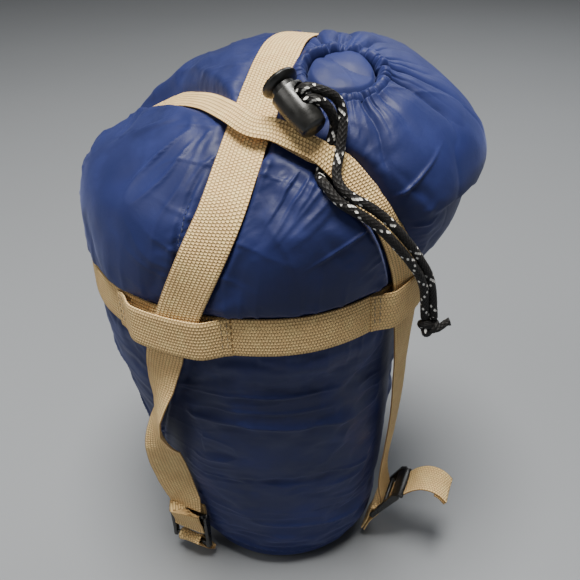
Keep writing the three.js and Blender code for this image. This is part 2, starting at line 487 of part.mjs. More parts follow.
// ------------------------------------------------------------- free cord ends
function tube(points, d, steps, sides = 8) {
  const sec = new THREE.Shape();
  for (let i = 0; i < sides; i++) { const a = (i / sides) * 2 * Math.PI; sec[i ? 'lineTo' : 'moveTo']((d / 2) * Math.cos(a), (d / 2) * Math.sin(a)); }
  sec.closePath();
  return new THREE.ExtrudeGeometry(sec, { steps, bevelEnabled: false, extrudePath: new THREE.CatmullRomCurve3(points.map((p) => V3(...p)), false, 'centripetal') });
}
// the two strands leave the fabric under the lock, pass through it, arch over to
// the right, dip under strap B, cross back over it and run down to the knot
const STRAND_1 = [
  [9.63, -60.85, 287.78], [11.09, -62.55, 291.04], [12.55, -64.25, 294.31], [14.15, -65.9, 297.53], [17.26, -66.52, 299.26],
  [21.07, -65.83, 298.46], [24.38, -64.9, 296.55], [26.56, -63.78, 293.48], [27.46, -62.91, 289.75], [27.09, -62.78, 285.83],
  [25.86, -63.12, 282.08], [24.37, -63.32, 278.42], [22.99, -64.9, 275.11], [21.76, -67.11, 272.06], [20.63, -69.61, 269.24],
  [20.95, -73.3, 268.24], [22.31, -76.67, 266.77], [24.25, -79.14, 264.38], [27, -80.69, 262.02], [30.23, -81.46, 259.86],
  [33.61, -81.67, 257.82], [36.95, -81.6, 255.69], [40.15, -81.46, 253.36], [43.15, -81.34, 250.79], [45.95, -81.2, 247.99],
  [48.57, -80.96, 245.03], [51.03, -80.45, 241.97], [53.36, -79.56, 238.9], [55.53, -78.35, 235.81], [57.56, -77.06, 232.66],
  [59.48, -75.87, 229.41], [61.36, -74.74, 226.12], [62.97, -73.68, 222.66], [64.26, -72.61, 219.07], [65.33, -71.48, 215.43],
  [66.23, -70.36, 211.74], [66.96, -69.29, 208], [67.56, -68.3, 204.21], [68.07, -67.38, 200.39], [68.52, -66.5, 196.56],
];
const STRAND_2 = [
  [7.15, -58.2, 290.26], [8.6, -59.9, 293.53], [10.06, -61.6, 296.79], [11.58, -63.27, 300.05], [13.99, -64.43, 302.85],
  [17.73, -64.27, 304.12], [21.61, -63.71, 304.46], [25.34, -62.77, 303.61], [28.49, -61.79, 301.48], [30.7, -61.3, 298.25],
  [31.78, -61.71, 294.49], [31.96, -62.92, 290.74], [31.47, -64.4, 287.11], [30.41, -65.89, 283.6], [29.26, -67.64, 280.24],
  [27.95, -69.71, 277.13], [26.71, -71.84, 274.04], [26.19, -74.03, 270.79], [27.03, -76.5, 267.85], [29.31, -78.47, 265.33],
  [32.51, -79.4, 263.22], [35.92, -79.64, 261.23], [39.28, -79.64, 259.13], [42.48, -79.61, 256.81], [45.51, -79.61, 254.25],
  [48.34, -79.57, 251.49], [51, -79.39, 248.57], [53.48, -78.93, 245.52], [55.78, -78.01, 242.43], [57.88, -76.67, 239.35],
  [59.8, -75.19, 236.22], [61.66, -73.85, 232.99], [63.58, -72.74, 229.72], [65.59, -71.73, 226.45], [67.48, -70.76, 223.12],
  [69.04, -69.83, 219.6], [70.23, -69, 215.92], [71.04, -68.3, 212.11], [71.61, -67.72, 208.23], [72.15, -67.25, 204.34],
  [72.74, -66.85, 200.44], [73.42, -66.5, 196.56],
];
const KNOT = [71.0, -66.5, 191.0];
put('cord_strand_1', tube(STRAND_1, CORD_D, 70), CORD);
put('cord_strand_2', tube(STRAND_2, CORD_D, 70), CORD);
{
  // overhand knot drawn tight, with the short free end standing out of it
  const g = new THREE.SphereGeometry(1, 20, 12), pos = g.attributes.position;
  for (let i = 0; i < pos.count; i++) {
    const x = pos.getX(i), y = pos.getY(i), z = pos.getZ(i), a = Math.atan2(y, x);
    const r = 1 + 0.07 * Math.cos(3 * a + 4 * z) * (1 - z * z);
    pos.setXYZ(i, 4.9 * x * r, 4.4 * y * r, 4.3 * z);
  }
  const end = tube([[2.2, -0.6, 0.4], [4.6, -1.0, 1.2], [7.0, -1.0, 2.9], [9.4, -0.7, 3.6]], 3.2, 8);
  const k = put('cord_knot', fromSolid(solid(g).add(solid(end))), CORD);
  k.applyMatrix4(new THREE.Matrix4().makeTranslation(...KNOT));
}
export default group;
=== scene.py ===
import bpy, math
import numpy as np
from mathutils import Vector, Matrix


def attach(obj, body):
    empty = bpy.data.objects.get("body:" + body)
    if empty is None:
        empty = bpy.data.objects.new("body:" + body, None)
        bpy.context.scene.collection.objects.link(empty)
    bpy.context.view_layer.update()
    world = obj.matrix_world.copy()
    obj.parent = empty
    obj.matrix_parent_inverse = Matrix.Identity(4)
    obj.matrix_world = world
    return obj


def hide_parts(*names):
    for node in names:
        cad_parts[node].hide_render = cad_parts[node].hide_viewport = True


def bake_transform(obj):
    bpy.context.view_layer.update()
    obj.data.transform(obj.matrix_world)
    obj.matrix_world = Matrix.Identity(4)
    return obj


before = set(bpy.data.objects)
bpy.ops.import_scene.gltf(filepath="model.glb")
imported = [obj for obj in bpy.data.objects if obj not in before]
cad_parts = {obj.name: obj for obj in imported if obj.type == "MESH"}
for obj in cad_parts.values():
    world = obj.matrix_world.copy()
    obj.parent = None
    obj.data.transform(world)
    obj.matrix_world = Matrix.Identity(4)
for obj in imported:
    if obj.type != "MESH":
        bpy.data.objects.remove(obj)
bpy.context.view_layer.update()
MM = 0.001

# ------------------------------------------------------------------ camera
CAM = np.array([8.82, -337.82, 385.57])
PAN, PITCH, ROLL, FOCAL = math.radians(-0.32), math.radians(32.63), math.radians(0.6), 720.0
fwd = np.array([math.sin(PAN) * math.cos(PITCH), math.cos(PAN) * math.cos(PITCH), -math.sin(PITCH)])
right = np.array([math.cos(PAN), -math.sin(PAN), 0.0])
down = np.cross(fwd, right)
r2 = math.cos(ROLL) * right + math.sin(ROLL) * down
d2 = -math.sin(ROLL) * right + math.cos(ROLL) * down
cam_data = bpy.data.cameras.new("camera")
cam_data.sensor_width = 36.0
cam_data.lens = FOCAL / 580.0 * 36.0
cam_data.clip_start, cam_data.clip_end = 0.01, 50
cam = bpy.data.objects.new("camera", cam_data)
bpy.context.scene.collection.objects.link(cam)
M = Matrix.Identity(4)
for row in range(3):
    M[row][0], M[row][1], M[row][2], M[row][3] = r2[row], -d2[row], -fwd[row], CAM[row] * MM
cam.matrix_world = M
bpy.context.scene.camera = cam

# ------------------------------------------------------------------ tables
SECTIONS = np.array([
    [0, 0, 0.0, 0, 0, 0, 0, 0],
    [0, 0, 0.0, 0, 22, 22, 22, 22],
    [0, 0, 0.6, 0, 42, 42, 40, 40],
    [0, 0, 6, 0, 51, 53, 49, 49],
    [0, 0, 20, 0, 58, 61, 55, 55],
    [0, 0, 50, 0, 67, 63, 61, 62],
    [0, 0, 90, 0, 77, 65.5, 67, 69],
    [0, 0, 130, 0, 86, 66.5, 73, 74],
    [0, 0, 160, 0, 92, 67.5, 77, 77],
    [0, 0, 185, 0, 95.5, 71, 81, 80],
    [0, 0, 205, 0, 97.5, 78, 84, 82],
    [1, -1, 225, 0.03, 98.5, 87, 85, 84],
    [4, -5, 243, 0.08, 98, 91.5, 82, 87],
    [8, -12, 258, 0.16, 92.5, 90, 75, 89],
    [13, -18, 270, 0.24, 81, 81.5, 66, 82],
    [18, -24, 281, 0.32, 66, 67, 54.5, 66],
    [24, -28, 289.5, 0.38, 51, 47.5, 41, 47],
    [28, -31, 295, 0.43, 35, 30, 28, 30],
    [30, -32, 297, 0.45, 20.5, 18.5, 16.5, 16.5],
    ], float)
STRAP_A = np.array([
    [-56.0, -47.6, 48.4, -0.42, -0.91, 0.0, 3],
    [-59.4, -49.0, 58, -0.46, -0.88, 0.0, 3],
    [-65.2, -50.5, 78, -0.72, -0.68, -0.1, 3],
    [-68.5, -57, 104, -0.95, -0.3, -0.1, 3],
    [-68.0, -61.5, 124, -0.97, -0.2, -0.1, 3],
    [-65.5, -66.5, 146, -0.86, -0.5, -0.1, 3],
    [-61.0, -68.6, 163, -0.66, -0.74, -0.12, 3],
    [-53.9, -70.4, 181, -0.49, -0.86, -0.15, 3],
    [-48.4, -73.6, 191.6, -0.43, -0.89, -0.14, 3.2],
    [-43.5, -76.7, 201.3, -0.38, -0.92, -0.1, 3.2],
    [-38.9, -79.2, 214.2, -0.34, -0.94, -0.02, 1.4],
    [-29.5, -81.5, 236.0, -0.28, -0.955, 0.12, 1.2],
    [-20.5, -76.8, 255.0, -0.24, -0.80, 0.55, 1.2],
    [-14.4, -65.2, 269.2, -0.22, -0.67, 0.71, 1.2],
    [-10.1, -54.2, 278.6, -0.22, -0.59, 0.78, 1.2],
    [-5.7, -42.3, 287.7, -0.22, -0.50, 0.84, 1.2],
    [-1.9, -32.0, 295.0, -0.19, -0.40, 0.90, 1.2],
    [2.3, -19.2, 301.6, -0.16, -0.27, 0.95, 1.2],
    [7.5, -3.0, 305.6, -0.12, -0.08, 0.99, 1.2],
    [16, 14, 304.0, 0.06, 0.18, 0.98, 1.2],
    [29.2, 33.5, 295.3, 0.25, 0.42, 0.87, 1.6],
    [42.5, 50.8, 276.8, 0.44, 0.62, 0.65, 1.8],
    [50.5, 61, 253, 0.60, 0.76, 0.25, 1.2],
    [53.6, 63.4, 228, 0.66, 0.75, 0.0, 1.6],
    [52.8, 62.1, 201.5, 0.66, 0.75, -0.03, 3.2],
    [51.6, 60.7, 180, 0.66, 0.75, -0.06, 2.6],
    [48.6, 58.0, 150, 0.66, 0.75, -0.07, 1.4],
    [46.0, 55.0, 110, 0.66, 0.75, -0.07, 1.3],
    [43.2, 51.7, 70, 0.65, 0.76, -0.08, 1.3],
    [39.0, 47.0, 34, 0.63, 0.76, -0.12, 1.3],
    [36.0, 43.6, 17, 0.60, 0.74, -0.3, 1.3],
    [34.2, 41.5, 9.0, 0.58, 0.72, -0.38, 1.3],
    ], float)
STRAP_B = np.array([
    [-49.2, 10.4, 8.8, -0.88, 0.19, -0.42, 1.3, 1],
    [-53.6, 11.2, 17, -0.93, 0.20, -0.3, 1.3, 1],
    [-60.4, 12.4, 34, -0.95, 0.20, -0.22, 1.3, 1],
    [-70.8, 14.2, 70, -0.95, 0.20, -0.2, 1.3, 1],
    [-80.8, 16.0, 110, -0.95, 0.20, -0.2, 1.3, 1],
    [-90.0, 17.6, 150, -0.96, 0.20, -0.16, 1.4, 1],
    [-95.4, 18.5, 180, -0.97, 0.20, -0.08, 2.6, 1],
    [-96.8, 18.8, 202, -0.98, 0.20, -0.02, 3.2, 1],
    [-96.6, 18.8, 226, -0.97, 0.20, 0.10, 1.6, 1],
    [-90.0, 17.8, 246, -0.85, 0.18, 0.49, 1.2, 1],
    [-74.5, 15.5, 262, -0.66, 0.14, 0.73, 1.2, 1],
    [-58, 9.5, 272.5, -0.52, 0.06, 0.85, 1.2, 1],
    [-44.8, -1.5, 279.5, -0.44, -0.08, 0.89, 1.2, 1],
    [-30.6, -18.6, 286.0, -0.38, -0.24, 0.89, 1.2, 1],
    [-18.1, -39.8, 289.5, -0.28, -0.42, 0.86, 2.6, 0.92],
    [-8.4, -54.2, 285.8, -0.20, -0.55, 0.81, 3.6, 0.75],
    [1.5, -61.0, 283.8, -0.12, -0.66, 0.74, 4.5, 0.55],
    [10.6, -65.6, 281.2, -0.02, -0.80, 0.60, 6.3, 0.42],
    [19.1, -68.4, 277.6, 0.04, -0.80, 0.60, 6.6, 0.42],
    [28.2, -69.2, 270.8, 0.10, -0.78, 0.62, 5.0, 0.56],
    [36.6, -70.2, 261.6, 0.2, -0.80, 0.56, 2.2, 0.58],
    [44.6, -70.6, 251.2, 0.34, -0.84, 0.40, 1.4, 0.52],
    [52.2, -66.6, 236.4, 0.50, -0.80, 0.1, 1.4, 0.6],
    [59.2, -57.6, 216.6, 0.66, -0.73, -0.12, 1.8, 0.8],
    [61.4, -52.9, 200.5, 0.76, -0.65, -0.1, 3.2, 1],
    [62.9, -49.6, 182, 0.82, -0.56, -0.1, 3.6, 1],
    [64.2, -43.0, 157, 0.88, -0.47, -0.05, 3.6, 1],
    [65.2, -36.2, 120, 0.91, -0.42, -0.03, 3.6, 1],
    [64.0, -30.6, 85, 0.92, -0.39, -0.04, 3.4, 1],
    [62.6, -27.2, 60, 0.93, -0.36, -0.03, 3.4, 1],
    ], float)
STRAND_1 = np.array([
    [9.63, -60.85, 287.78], [11.09, -62.55, 291.04], [12.55, -64.25, 294.31], [14.15, -65.9, 297.53], [17.26, -66.52, 299.26],
    [21.07, -65.83, 298.46], [24.38, -64.9, 296.55], [26.56, -63.78, 293.48], [27.46, -62.91, 289.75], [27.09, -62.78, 285.83],
    [25.86, -63.12, 282.08], [24.37, -63.32, 278.42], [22.99, -64.9, 275.11], [21.76, -67.11, 272.06], [20.63, -69.61, 269.24],
    [20.95, -73.3, 268.24], [22.31, -76.67, 266.77], [24.25, -79.14, 264.38], [27, -80.69, 262.02], [30.23, -81.46, 259.86],
    [33.61, -81.67, 257.82], [36.95, -81.6, 255.69], [40.15, -81.46, 253.36], [43.15, -81.34, 250.79], [45.95, -81.2, 247.99],
    [48.57, -80.96, 245.03], [51.03, -80.45, 241.97], [53.36, -79.56, 238.9], [55.53, -78.35, 235.81], [57.56, -77.06, 232.66],
    [59.48, -75.87, 229.41], [61.36, -74.74, 226.12], [62.97, -73.68, 222.66], [64.26, -72.61, 219.07], [65.33, -71.48, 215.43],
    [66.23, -70.36, 211.74], [66.96, -69.29, 208], [67.56, -68.3, 204.21], [68.07, -67.38, 200.39], [68.52, -66.5, 196.56],
    ], float)
STRAND_2 = np.array([
    [7.15, -58.2, 290.26], [8.6, -59.9, 293.53], [10.06, -61.6, 296.79], [11.58, -63.27, 300.05], [13.99, -64.43, 302.85],
    [17.73, -64.27, 304.12], [21.61, -63.71, 304.46], [25.34, -62.77, 303.61], [28.49, -61.79, 301.48], [30.7, -61.3, 298.25],
    [31.78, -61.71, 294.49], [31.96, -62.92, 290.74], [31.47, -64.4, 287.11], [30.41, -65.89, 283.6], [29.26, -67.64, 280.24],
    [27.95, -69.71, 277.13], [26.71, -71.84, 274.04], [26.19, -74.03, 270.79], [27.03, -76.5, 267.85], [29.31, -78.47, 265.33],
    [32.51, -79.4, 263.22], [35.92, -79.64, 261.23], [39.28, -79.64, 259.13], [42.48, -79.61, 256.81], [45.51, -79.61, 254.25],
    [48.34, -79.57, 251.49], [51, -79.39, 248.57], [53.48, -78.93, 245.52], [55.78, -78.01, 242.43], [57.88, -76.67, 239.35],
    [59.8, -75.19, 236.22], [61.66, -73.85, 232.99], [63.58, -72.74, 229.72], [65.59, -71.73, 226.45], [67.48, -70.76, 223.12],
    [69.04, -69.83, 219.6], [70.23, -69, 215.92], [71.04, -68.3, 212.11], [71.61, -67.72, 208.23], [72.15, -67.25, 204.34],
    [72.74, -66.85, 200.44], [73.42, -66.5, 196.56],
    ], float)
KNOT = np.array([71.0, -66.5, 191.0], float)
CORD_D = 4.0
WEB_W, WEB_T = 20.0, 1.3
RING_Z, RING_TX, RING_TY = 200.0, 0.03, 0.04
MC, MK = SECTIONS[-1][:3], SECTIONS[-1][3]
CH_RX, CH_RY, CH_R, CH_LIFT = 17.5, 15.5, 3.5, 2.2
LOCK_E, LOCK_S = np.array([17.8, -69.8, 287.6], float), np.array([5.6, -56.8, 299.8], float)


# strap A stands clear of the ring where it comes out below it
for _row, _out in ((5, 0.2), (6, 0.7), (7, 1.3), (8, 1.5), (9, 1.2), (10, 0.5)):
    STRAP_A[_row, :3] += _out * STRAP_A[_row, 3:6] / np.linalg.norm(STRAP_A[_row, 3:6])
    STRAP_A[_row, 6] += _out

# where strap B crosses it lies a little lower and partly folded under itself
for _row, _dy, _dz, _w in ((9, 1, -1, 1.0), (10, 3.0, -3.0, 0.85), (11, 4.0, -3.4, 0.64), (12, 1.5, -2.2, 0.52), (13, -3.4, -2.4, 0.48), (14, -5.0, -3.0, 0.48), (15, -2.2, -1.2, 0.48), (16, 0, 0, 0.45)):
    STRAP_B[_row, 1] += _dy
    STRAP_B[_row, 2] += _dz
    STRAP_B[_row, 7] = min(STRAP_B[_row, 7], _w)


# the arch of cord beside the lock
for _table, _size in ((STRAND_1, 3.0), (STRAND_2, 4.8)):
    _i = np.arange(len(_table), dtype=float)
    _up, _dn = np.clip((_i - 3) / 4, 0, 1), np.clip((_i - 11) / 6, 0, 1)
    _b = _up * _up * (3 - 2 * _up) * (1 - _dn * _dn * (3 - 2 * _dn)) * _size
    _table += _b[:, None] * (-0.66 * r2 + 0.75 * d2)


def unit(v):
    v = np.asarray(v, float)
    return v / np.maximum(np.linalg.norm(v, axis=-1, keepdims=True), 1e-9)


def catmull(table, t):
    n = len(table)
    t = np.clip(np.asarray(t, float), 0, n - 1 - 1e-9)
    i = np.floor(t).astype(int)
    f = (t - i)[..., None]
    g = lambda k: table[np.clip(k, 0, n - 1)]
    a, b, c, d = g(i - 1), g(i), g(i + 1), g(i + 2)
    return 0.5 * (2 * b + (c - a) * f + (2 * a - 5 * b + 4 * c - d) * f**2 + (3 * b - a - 3 * c + d) * f**3)


def sack_point(phi, t):
    q = catmull(SECTIONS, t)
    c, s = np.cos(phi), np.sin(phi)
    a = np.where(c > 0, q[..., 5], q[..., 4])
    b = np.where(s > 0, q[..., 7], q[..., 6])
    r = 1 / np.sqrt((c / np.maximum(a, 1e-3)) ** 2 + (s / np.maximum(b, 1e-3)) ** 2)
    k = q[..., 3]
    w = 1 / np.sqrt(1 + k * k)
    return np.stack([q[..., 0] + r * c, q[..., 1] + r * s * w, q[..., 2] + r * s * w * k], -1)


def grid_normals(G, closed=True):
    if closed:
        du = np.roll(G, -1, 1) - np.roll(G, 1, 1)
    else:
        du = np.gradient(G, axis=1)
    return unit(np.cross(du, np.gradient(G, axis=0)))


# smooth value noise and its ridged and layered forms
def _hash(i, j, k):
    n = (i * 374761393 + j * 668265263 + k * 1274126177).astype(np.int64) & 0xFFFFFFFF
    n = ((n ^ (n >> 13)) * 1274126177) & 0xFFFFFFFF
    n = (n ^ (n >> 16)) & 0xFFFFFFFF
    return n / 2147483647.5 - 1.0


def noise(x, y, z=0.0, seed=0):
    x, y, z = np.broadcast_arrays(np.asarray(x, float), np.asarray(y, float), np.asarray(z, float))
    i, j, k = np.floor(x).astype(np.int64), np.floor(y).astype(np.int64), np.floor(z).astype(np.int64)
    u, v, w = x - i, y - j, z - k
    u, v, w = (q**3 * (q * (6 * q - 15) + 10) for q in (u, v, w))
    k = k + seed * 101
    out = 0
    for a in (0, 1):
        for b in (0, 1):
            for c in (0, 1):
                out = out + _hash(i + a, j + b, k + c) * (u if a else 1 - u) * (v if b else 1 - v) * (w if c else 1 - w)
    return out


def ridged(x, y, z=0.0, seed=0):
    return 1 - np.abs(noise(x, y, z, seed)) * 1.9


def fbm(P, size, octaves=3, seed=0):
    out, amp = 0, 1.0
    for o in range(octaves):
        q = P / (size / 2**o)
        out = out + amp * noise(q[..., 0], q[..., 1], q[..., 2], seed + o)
        amp *= 0.5
    return out


def smooth01(x, a, b):
    x = np.clip((x - a) / (b - a), 0, 1)
    return x * x * (3 - 2 * x)


SEAM_Z = [0, 61.1, 140.1, 183.7, 243.6, 259.4, 269.6, 275.8, 300]
SEAM_A = np.radians([-166.9, -160.9, -133.7, -120.4, -117.0, -115.8, -114.0, -113.7, -117.7])


# ---------------------------------------------------------------- mesh help
def make_mesh(name, verts, faces, uv=None, smooth=True):
    me = bpy.data.meshes.new(name)
    me.from_pydata([tuple(v) for v in np.asarray(verts) * MM], [], [tuple(int(i) for i in f) for f in faces])
    if uv is not None:
        layer = me.uv_layers.new(name="UVMap")
        loops = np.zeros(len(me.loops), np.int32)
        me.loops.foreach_get("vertex_index", loops)
        layer.data.foreach_set("uv", np.asarray(uv, np.float32)[loops].ravel())
    me.polygons.foreach_set("use_smooth", [smooth] * len(me.polygons))
    me.update()
    ob = bpy.data.objects.new(name, me)
    bpy.context.scene.collection.objects.link(ob)
    return ob


def grid_faces(m, n, wrap_n=True, wrap_m=False):
    i, j = np.meshgrid(np.arange(m if wrap_m else m - 1), np.arange(n if wrap_n else n - 1), indexing="ij")
    i2, j2 = (i + 1) % m, (j + 1) % n
    return np.stack([i * n + j, i * n + j2, i2 * n + j2, i2 * n + j], -1).reshape(-1, 4)


def fast_mesh(name, verts, quads, extra=(), uv=None, attrs=None):
    me = bpy.data.meshes.new(name)
    verts = np.asarray(verts, np.float32) * MM
    faces = [np.asarray(quads, np.int32)]
    nq = len(quads)
    nt = len(extra)
    me.vertices.add(len(verts))
    me.vertices.foreach_set("co", verts.ravel())
    loops = np.concatenate([np.asarray(quads, np.int32).ravel(), np.asarray(extra, np.int32).ravel()]) if nt else np.asarray(quads, np.int32).ravel()
    me.loops.add(len(loops))
    me.loops.foreach_set("vertex_index", loops)
    me.polygons.add(nq + nt)
    start = np.concatenate([np.arange(nq) * 4, nq * 4 + np.arange(nt) * 3]) if nt else np.arange(nq) * 4
    me.polygons.foreach_set("loop_start", start.astype(np.int32))
    me.update(calc_edges=True)
    me.validate()
    if uv is not None:
        layer = me.uv_layers.new(name="UVMap")
        lv = np.zeros(len(me.loops), np.int32)
        me.loops.foreach_get("vertex_index", lv)
        layer.data.foreach_set("uv", np.asarray(uv, np.float32)[lv].ravel())
    for key, values in (attrs or {}).items():
        a = me.attributes.new(key, "FLOAT", "POINT")
        a.data.foreach_set("value", np.asarray(values, np.float32))
    me.polygons.foreach_set("use_smooth", np.ones(len(me.polygons), bool))
    me.update()
    ob = bpy.data.objects.new(name, me)
    bpy.context.scene.collection.objects.link(ob)
    return ob


# ---------------------------------------------------------------- materials
def lin(c):
    return tuple(((v / 255) / 12.92 if v / 255 <= 0.04045 else ((v / 255 + 0.055) / 1.055) ** 2.4) for v in c) + (1.0,)


class Nodes:
    def __init__(self, name):
        self.mat = bpy.data.materials.new(name)
        self.mat.use_nodes = True
        self.t = self.mat.node_tree
        self.bsdf = self.t.nodes["Principled BSDF"]

    def n(self, kind, **props):
        node = self.t.nodes.new(kind)
        for k, v in props.items():
            if k.startswith("_"):
                node.inputs[k[1:].replace("_", " ")].default_value = v
            else:
                setattr(node, k, v)
        return node

    def link(self, a, b):
        self.t.links.new(a, b)

    def math(self, op, a, b=None, c=None):
        node = self.t.nodes.new("ShaderNodeMath")
        node.operation = op
        for k, v in enumerate((a, b, c)):
            if v is None:
                continue
            if hasattr(v, "links"):
                self.link(v, node.inputs[k])
            else:
                node.inputs[k].default_value = v
        return node.outputs[0]

    def mix(self, fac, a, b, mode="MIX"):
        node = self.t.nodes.new("ShaderNodeMix")
        node.data_type, node.blend_type = "RGBA", mode
        for sock, v in ((node.inputs[0], fac), (node.inputs[6], a), (node.inputs[7], b)):
            if hasattr(v, "links"):
                self.link(v, sock)
            else:
                sock.default_value = v
        return node.outputs[2]

    def ramp(self, fac, lo, hi, a=0.0, b=1.0):
        node = self.t.nodes.new("ShaderNodeMapRange")
        node.interpolation_type = "SMOOTHSTEP"
        self.link(fac, node.inputs[0])
        for k, v in ((1, lo), (2, hi), (3, a), (4, b)):
            node.inputs[k].default_value = v
        return node.outputs[0]

    def noise(self, scale, detail=3.0, rough=0.55, vector=None):
        node = self.n("ShaderNodeTexNoise")
        node.inputs["Scale"].default_value = scale
        node.inputs["Detail"].default_value = detail
        node.inputs["Roughness"].default_value = rough
        if vector is not None:
            self.link(vector, node.inputs["Vector"])
        return node.outputs[0]

    def bump(self, height, distance, strength=1.0, under=None):
        node = self.n("ShaderNodeBump")
        node.inputs["Strength"].default_value = strength
        node.inputs["Distance"].default_value = distance
        self.link(height, node.inputs["Height"])
        if under is not None:
            self.link(under, node.inputs["Normal"])
        return node.outputs[0]

    def set(self, **values):
        for k, v in values.items():
            self.bsdf.inputs[k.replace("_", " ")].default_value = v


def nylon(name, base, rough=0.5, dark=0.72):
    m = Nodes(name)
    co = m.n("ShaderNodeTexCoord").outputs["Object"]
    big = m.noise(9, 3, 0.6, co)
    mid = m.noise(60, 4, 0.6, co)
    fine = m.noise(700, 2, 0.5, co)
    c0, c1 = lin(base), lin([v * dark for v in base])
    c2 = lin([min(255, v * 1.16 + 5) for v in base])
    col = m.mix(m.ramp(big, 0.3, 0.7), c1, c0)
    col = m.mix(m.ramp(mid, 0.45, 0.8, 0.0, 0.35), col, c2)
    # lighter on the ridges of the wrinkles and darker in the creases, by pointiness: painted highlight and painted
    # shade
    geo = m.n("ShaderNodeNewGeometry").outputs["Pointiness"]
    col = m.mix(m.ramp(geo, 0.52, 0.60, 0.0, 0.22), col, c2)
    col = m.mix(m.ramp(geo, 0.49, 0.42, 0.0, 0.35), col, c1)
    m.link(col, m.bsdf.inputs["Base Color"])
    m.link(m.ramp(mid, 0.2, 0.8, rough - 0.07, rough + 0.09), m.bsdf.inputs["Roughness"])
    wv = m.n("ShaderNodeTexVoronoi")
    wv.inputs["Scale"].default_value = 2100
    m.link(co, wv.inputs["Vector"])
    b1 = m.bump(m.noise(95, 4, 0.6, co), 0.0004, 0.25)
    b2 = m.bump(fine, 0.00016, 0.3, b1)
    b3 = m.bump(wv.outputs[0], 0.00010, 0.3, b2)
    m.link(b3, m.bsdf.inputs["Normal"])
    m.set(Sheen_Weight=0.16, Sheen_Roughness=0.4, IOR=1.5, Specular_IOR_Level=0.27)
    m.bsdf.inputs["Sheen Tint"].default_value = (0.45, 0.52, 1.0, 1)
    return m.mat


def webbing_mat(name, base, groove_shade=0.9):
    # u runs along the webbing and v across it, both in millimetres
    m = Nodes(name)
    uv = m.n("ShaderNodeUVMap")
    uv.uv_map = "UVMap"
    sep = m.n("ShaderNodeSeparateXYZ")
    m.link(uv.outputs[0], sep.inputs[0])
    u, v = sep.outputs[0], sep.outputs[1]
    PV, PU = 1.65, 1.45
    col_i = m.math("FLOOR", m.math("DIVIDE", v, PV))
    half = m.math("MULTIPLY", m.math("MODULO", col_i, 2.0), 0.5)
    across = m.math("ABSOLUTE", m.math("SINE", m.math("MULTIPLY", v, math.pi / PV)))
    along = m.math("ABSOLUTE", m.math("SINE", m.math("MULTIPLY", m.math("ADD", m.math("DIVIDE", u, PU), half), math.pi)))
    cell = m.math("MULTIPLY", m.math("POWER", across, 0.45), m.math("POWER", along, 0.5))
    co = m.n("ShaderNodeTexCoord").outputs["Object"]
    big, mid, fib = m.noise(14, 3, 0.6, co), m.noise(180, 3, 0.6, co), m.noise(1500, 2, 0.6, co)
    c0, groove_shade_col, cl = lin(base), lin([base[0] * 0.56, base[1] * 0.50, base[2] * 0.44]), lin([min(255, q * 1.08 + 5) for q in base])
    col = m.mix(m.ramp(big, 0.3, 0.72), lin([q * 0.9 for q in base]), c0)
    col = m.mix(m.ramp(mid, 0.4, 0.75, 0.0, 0.4), col, cl)
    # darker in the grooves between the weave cells: painted shade
    col = m.mix(m.ramp(cell, 0.1, 0.62, groove_shade, 0.0), col, groove_shade_col)
    m.link(col, m.bsdf.inputs["Base Color"])
    m.set(Roughness=0.78, Sheen_Weight=0.08, Sheen_Roughness=0.5, Specular_IOR_Level=0.25)
    m.bsdf.inputs["Sheen Tint"].default_value = (1.0, 0.85, 0.62, 1)
    b = m.bump(cell, 0.00060, 1.0)
    b = m.bump(fib, 0.00012, 0.5, b)
    m.link(b, m.bsdf.inputs["Normal"])
    return m.mat


def cord_mat(name):
    # u along in millimetres, v around in turns
    m = Nodes(name)
    uv = m.n("ShaderNodeUVMap")
    uv.uv_map = "UVMap"
    sep = m.n("ShaderNodeSeparateXYZ")
    m.link(uv.outputs[0], sep.inputs[0])
    u, v = sep.outputs[0], sep.outputs[1]
    a = m.math("ADD", m.math("MULTIPLY", v, 8.0), m.math("DIVIDE", u, 2.4))
    b = m.math("SUBTRACT", m.math("MULTIPLY", v, 8.0), m.math("DIVIDE", u, 2.4))
    sa, sb = (m.math("ABSOLUTE", m.math("SINE", m.math("MULTIPLY", q, math.pi))) for q in (a, b))
    h = m.math("POWER", m.math("MULTIPLY", sa, sb), 0.45)
    fa, fb = m.math("FLOOR", a), m.math("FLOOR", b)
    odd = m.math("LESS_THAN", m.math("FLOORED_MODULO", m.math("ADD", fa, fb), 2.0), 0.5)
    wa = m.math("MULTIPLY", odd, m.math("LESS_THAN", m.math("FLOORED_MODULO", fa, 8.0), 0.5))
    wb = m.math("MULTIPLY", m.math("SUBTRACT", 1.0, odd), m.math("LESS_THAN", m.math("ABSOLUTE", m.math("SUBTRACT", m.math("FLOORED_MODULO", fb, 8.0), 3.0)), 0.5))
    patchy = m.n("ShaderNodeTexNoise")
    patchy.inputs["Scale"].default_value = 1.0
    patchy.inputs["Detail"].default_value = 1.0
    along_v = m.n("ShaderNodeCombineXYZ")
    m.link(m.math("MULTIPLY", u, 0.11), along_v.inputs[0])
    m.link(along_v.outputs[0], patchy.inputs["Vector"])
    pick = m.math("MULTIPLY", m.math("ADD", wa, wb), m.math("GREATER_THAN", patchy.outputs[0], 0.42))
    pick = m.math("MULTIPLY", pick, m.ramp(h, 0.30, 0.5))
    co = m.n("ShaderNodeTexCoord").outputs["Object"]
    base = m.mix(m.ramp(m.noise(900, 2, 0.5, co), 0.3, 0.7), lin((7, 6, 6)), lin((22, 19, 18)))
    m.link(m.mix(pick, base, lin((226, 224, 218))), m.bsdf.inputs["Base Color"])
    m.set(Roughness=0.62, Sheen_Weight=0.04, Sheen_Roughness=0.4, Specular_IOR_Level=0.32)
    bp = m.bump(h, 0.00035, 0.9)
    m.link(bp, m.bsdf.inputs["Normal"])
    return m.mat


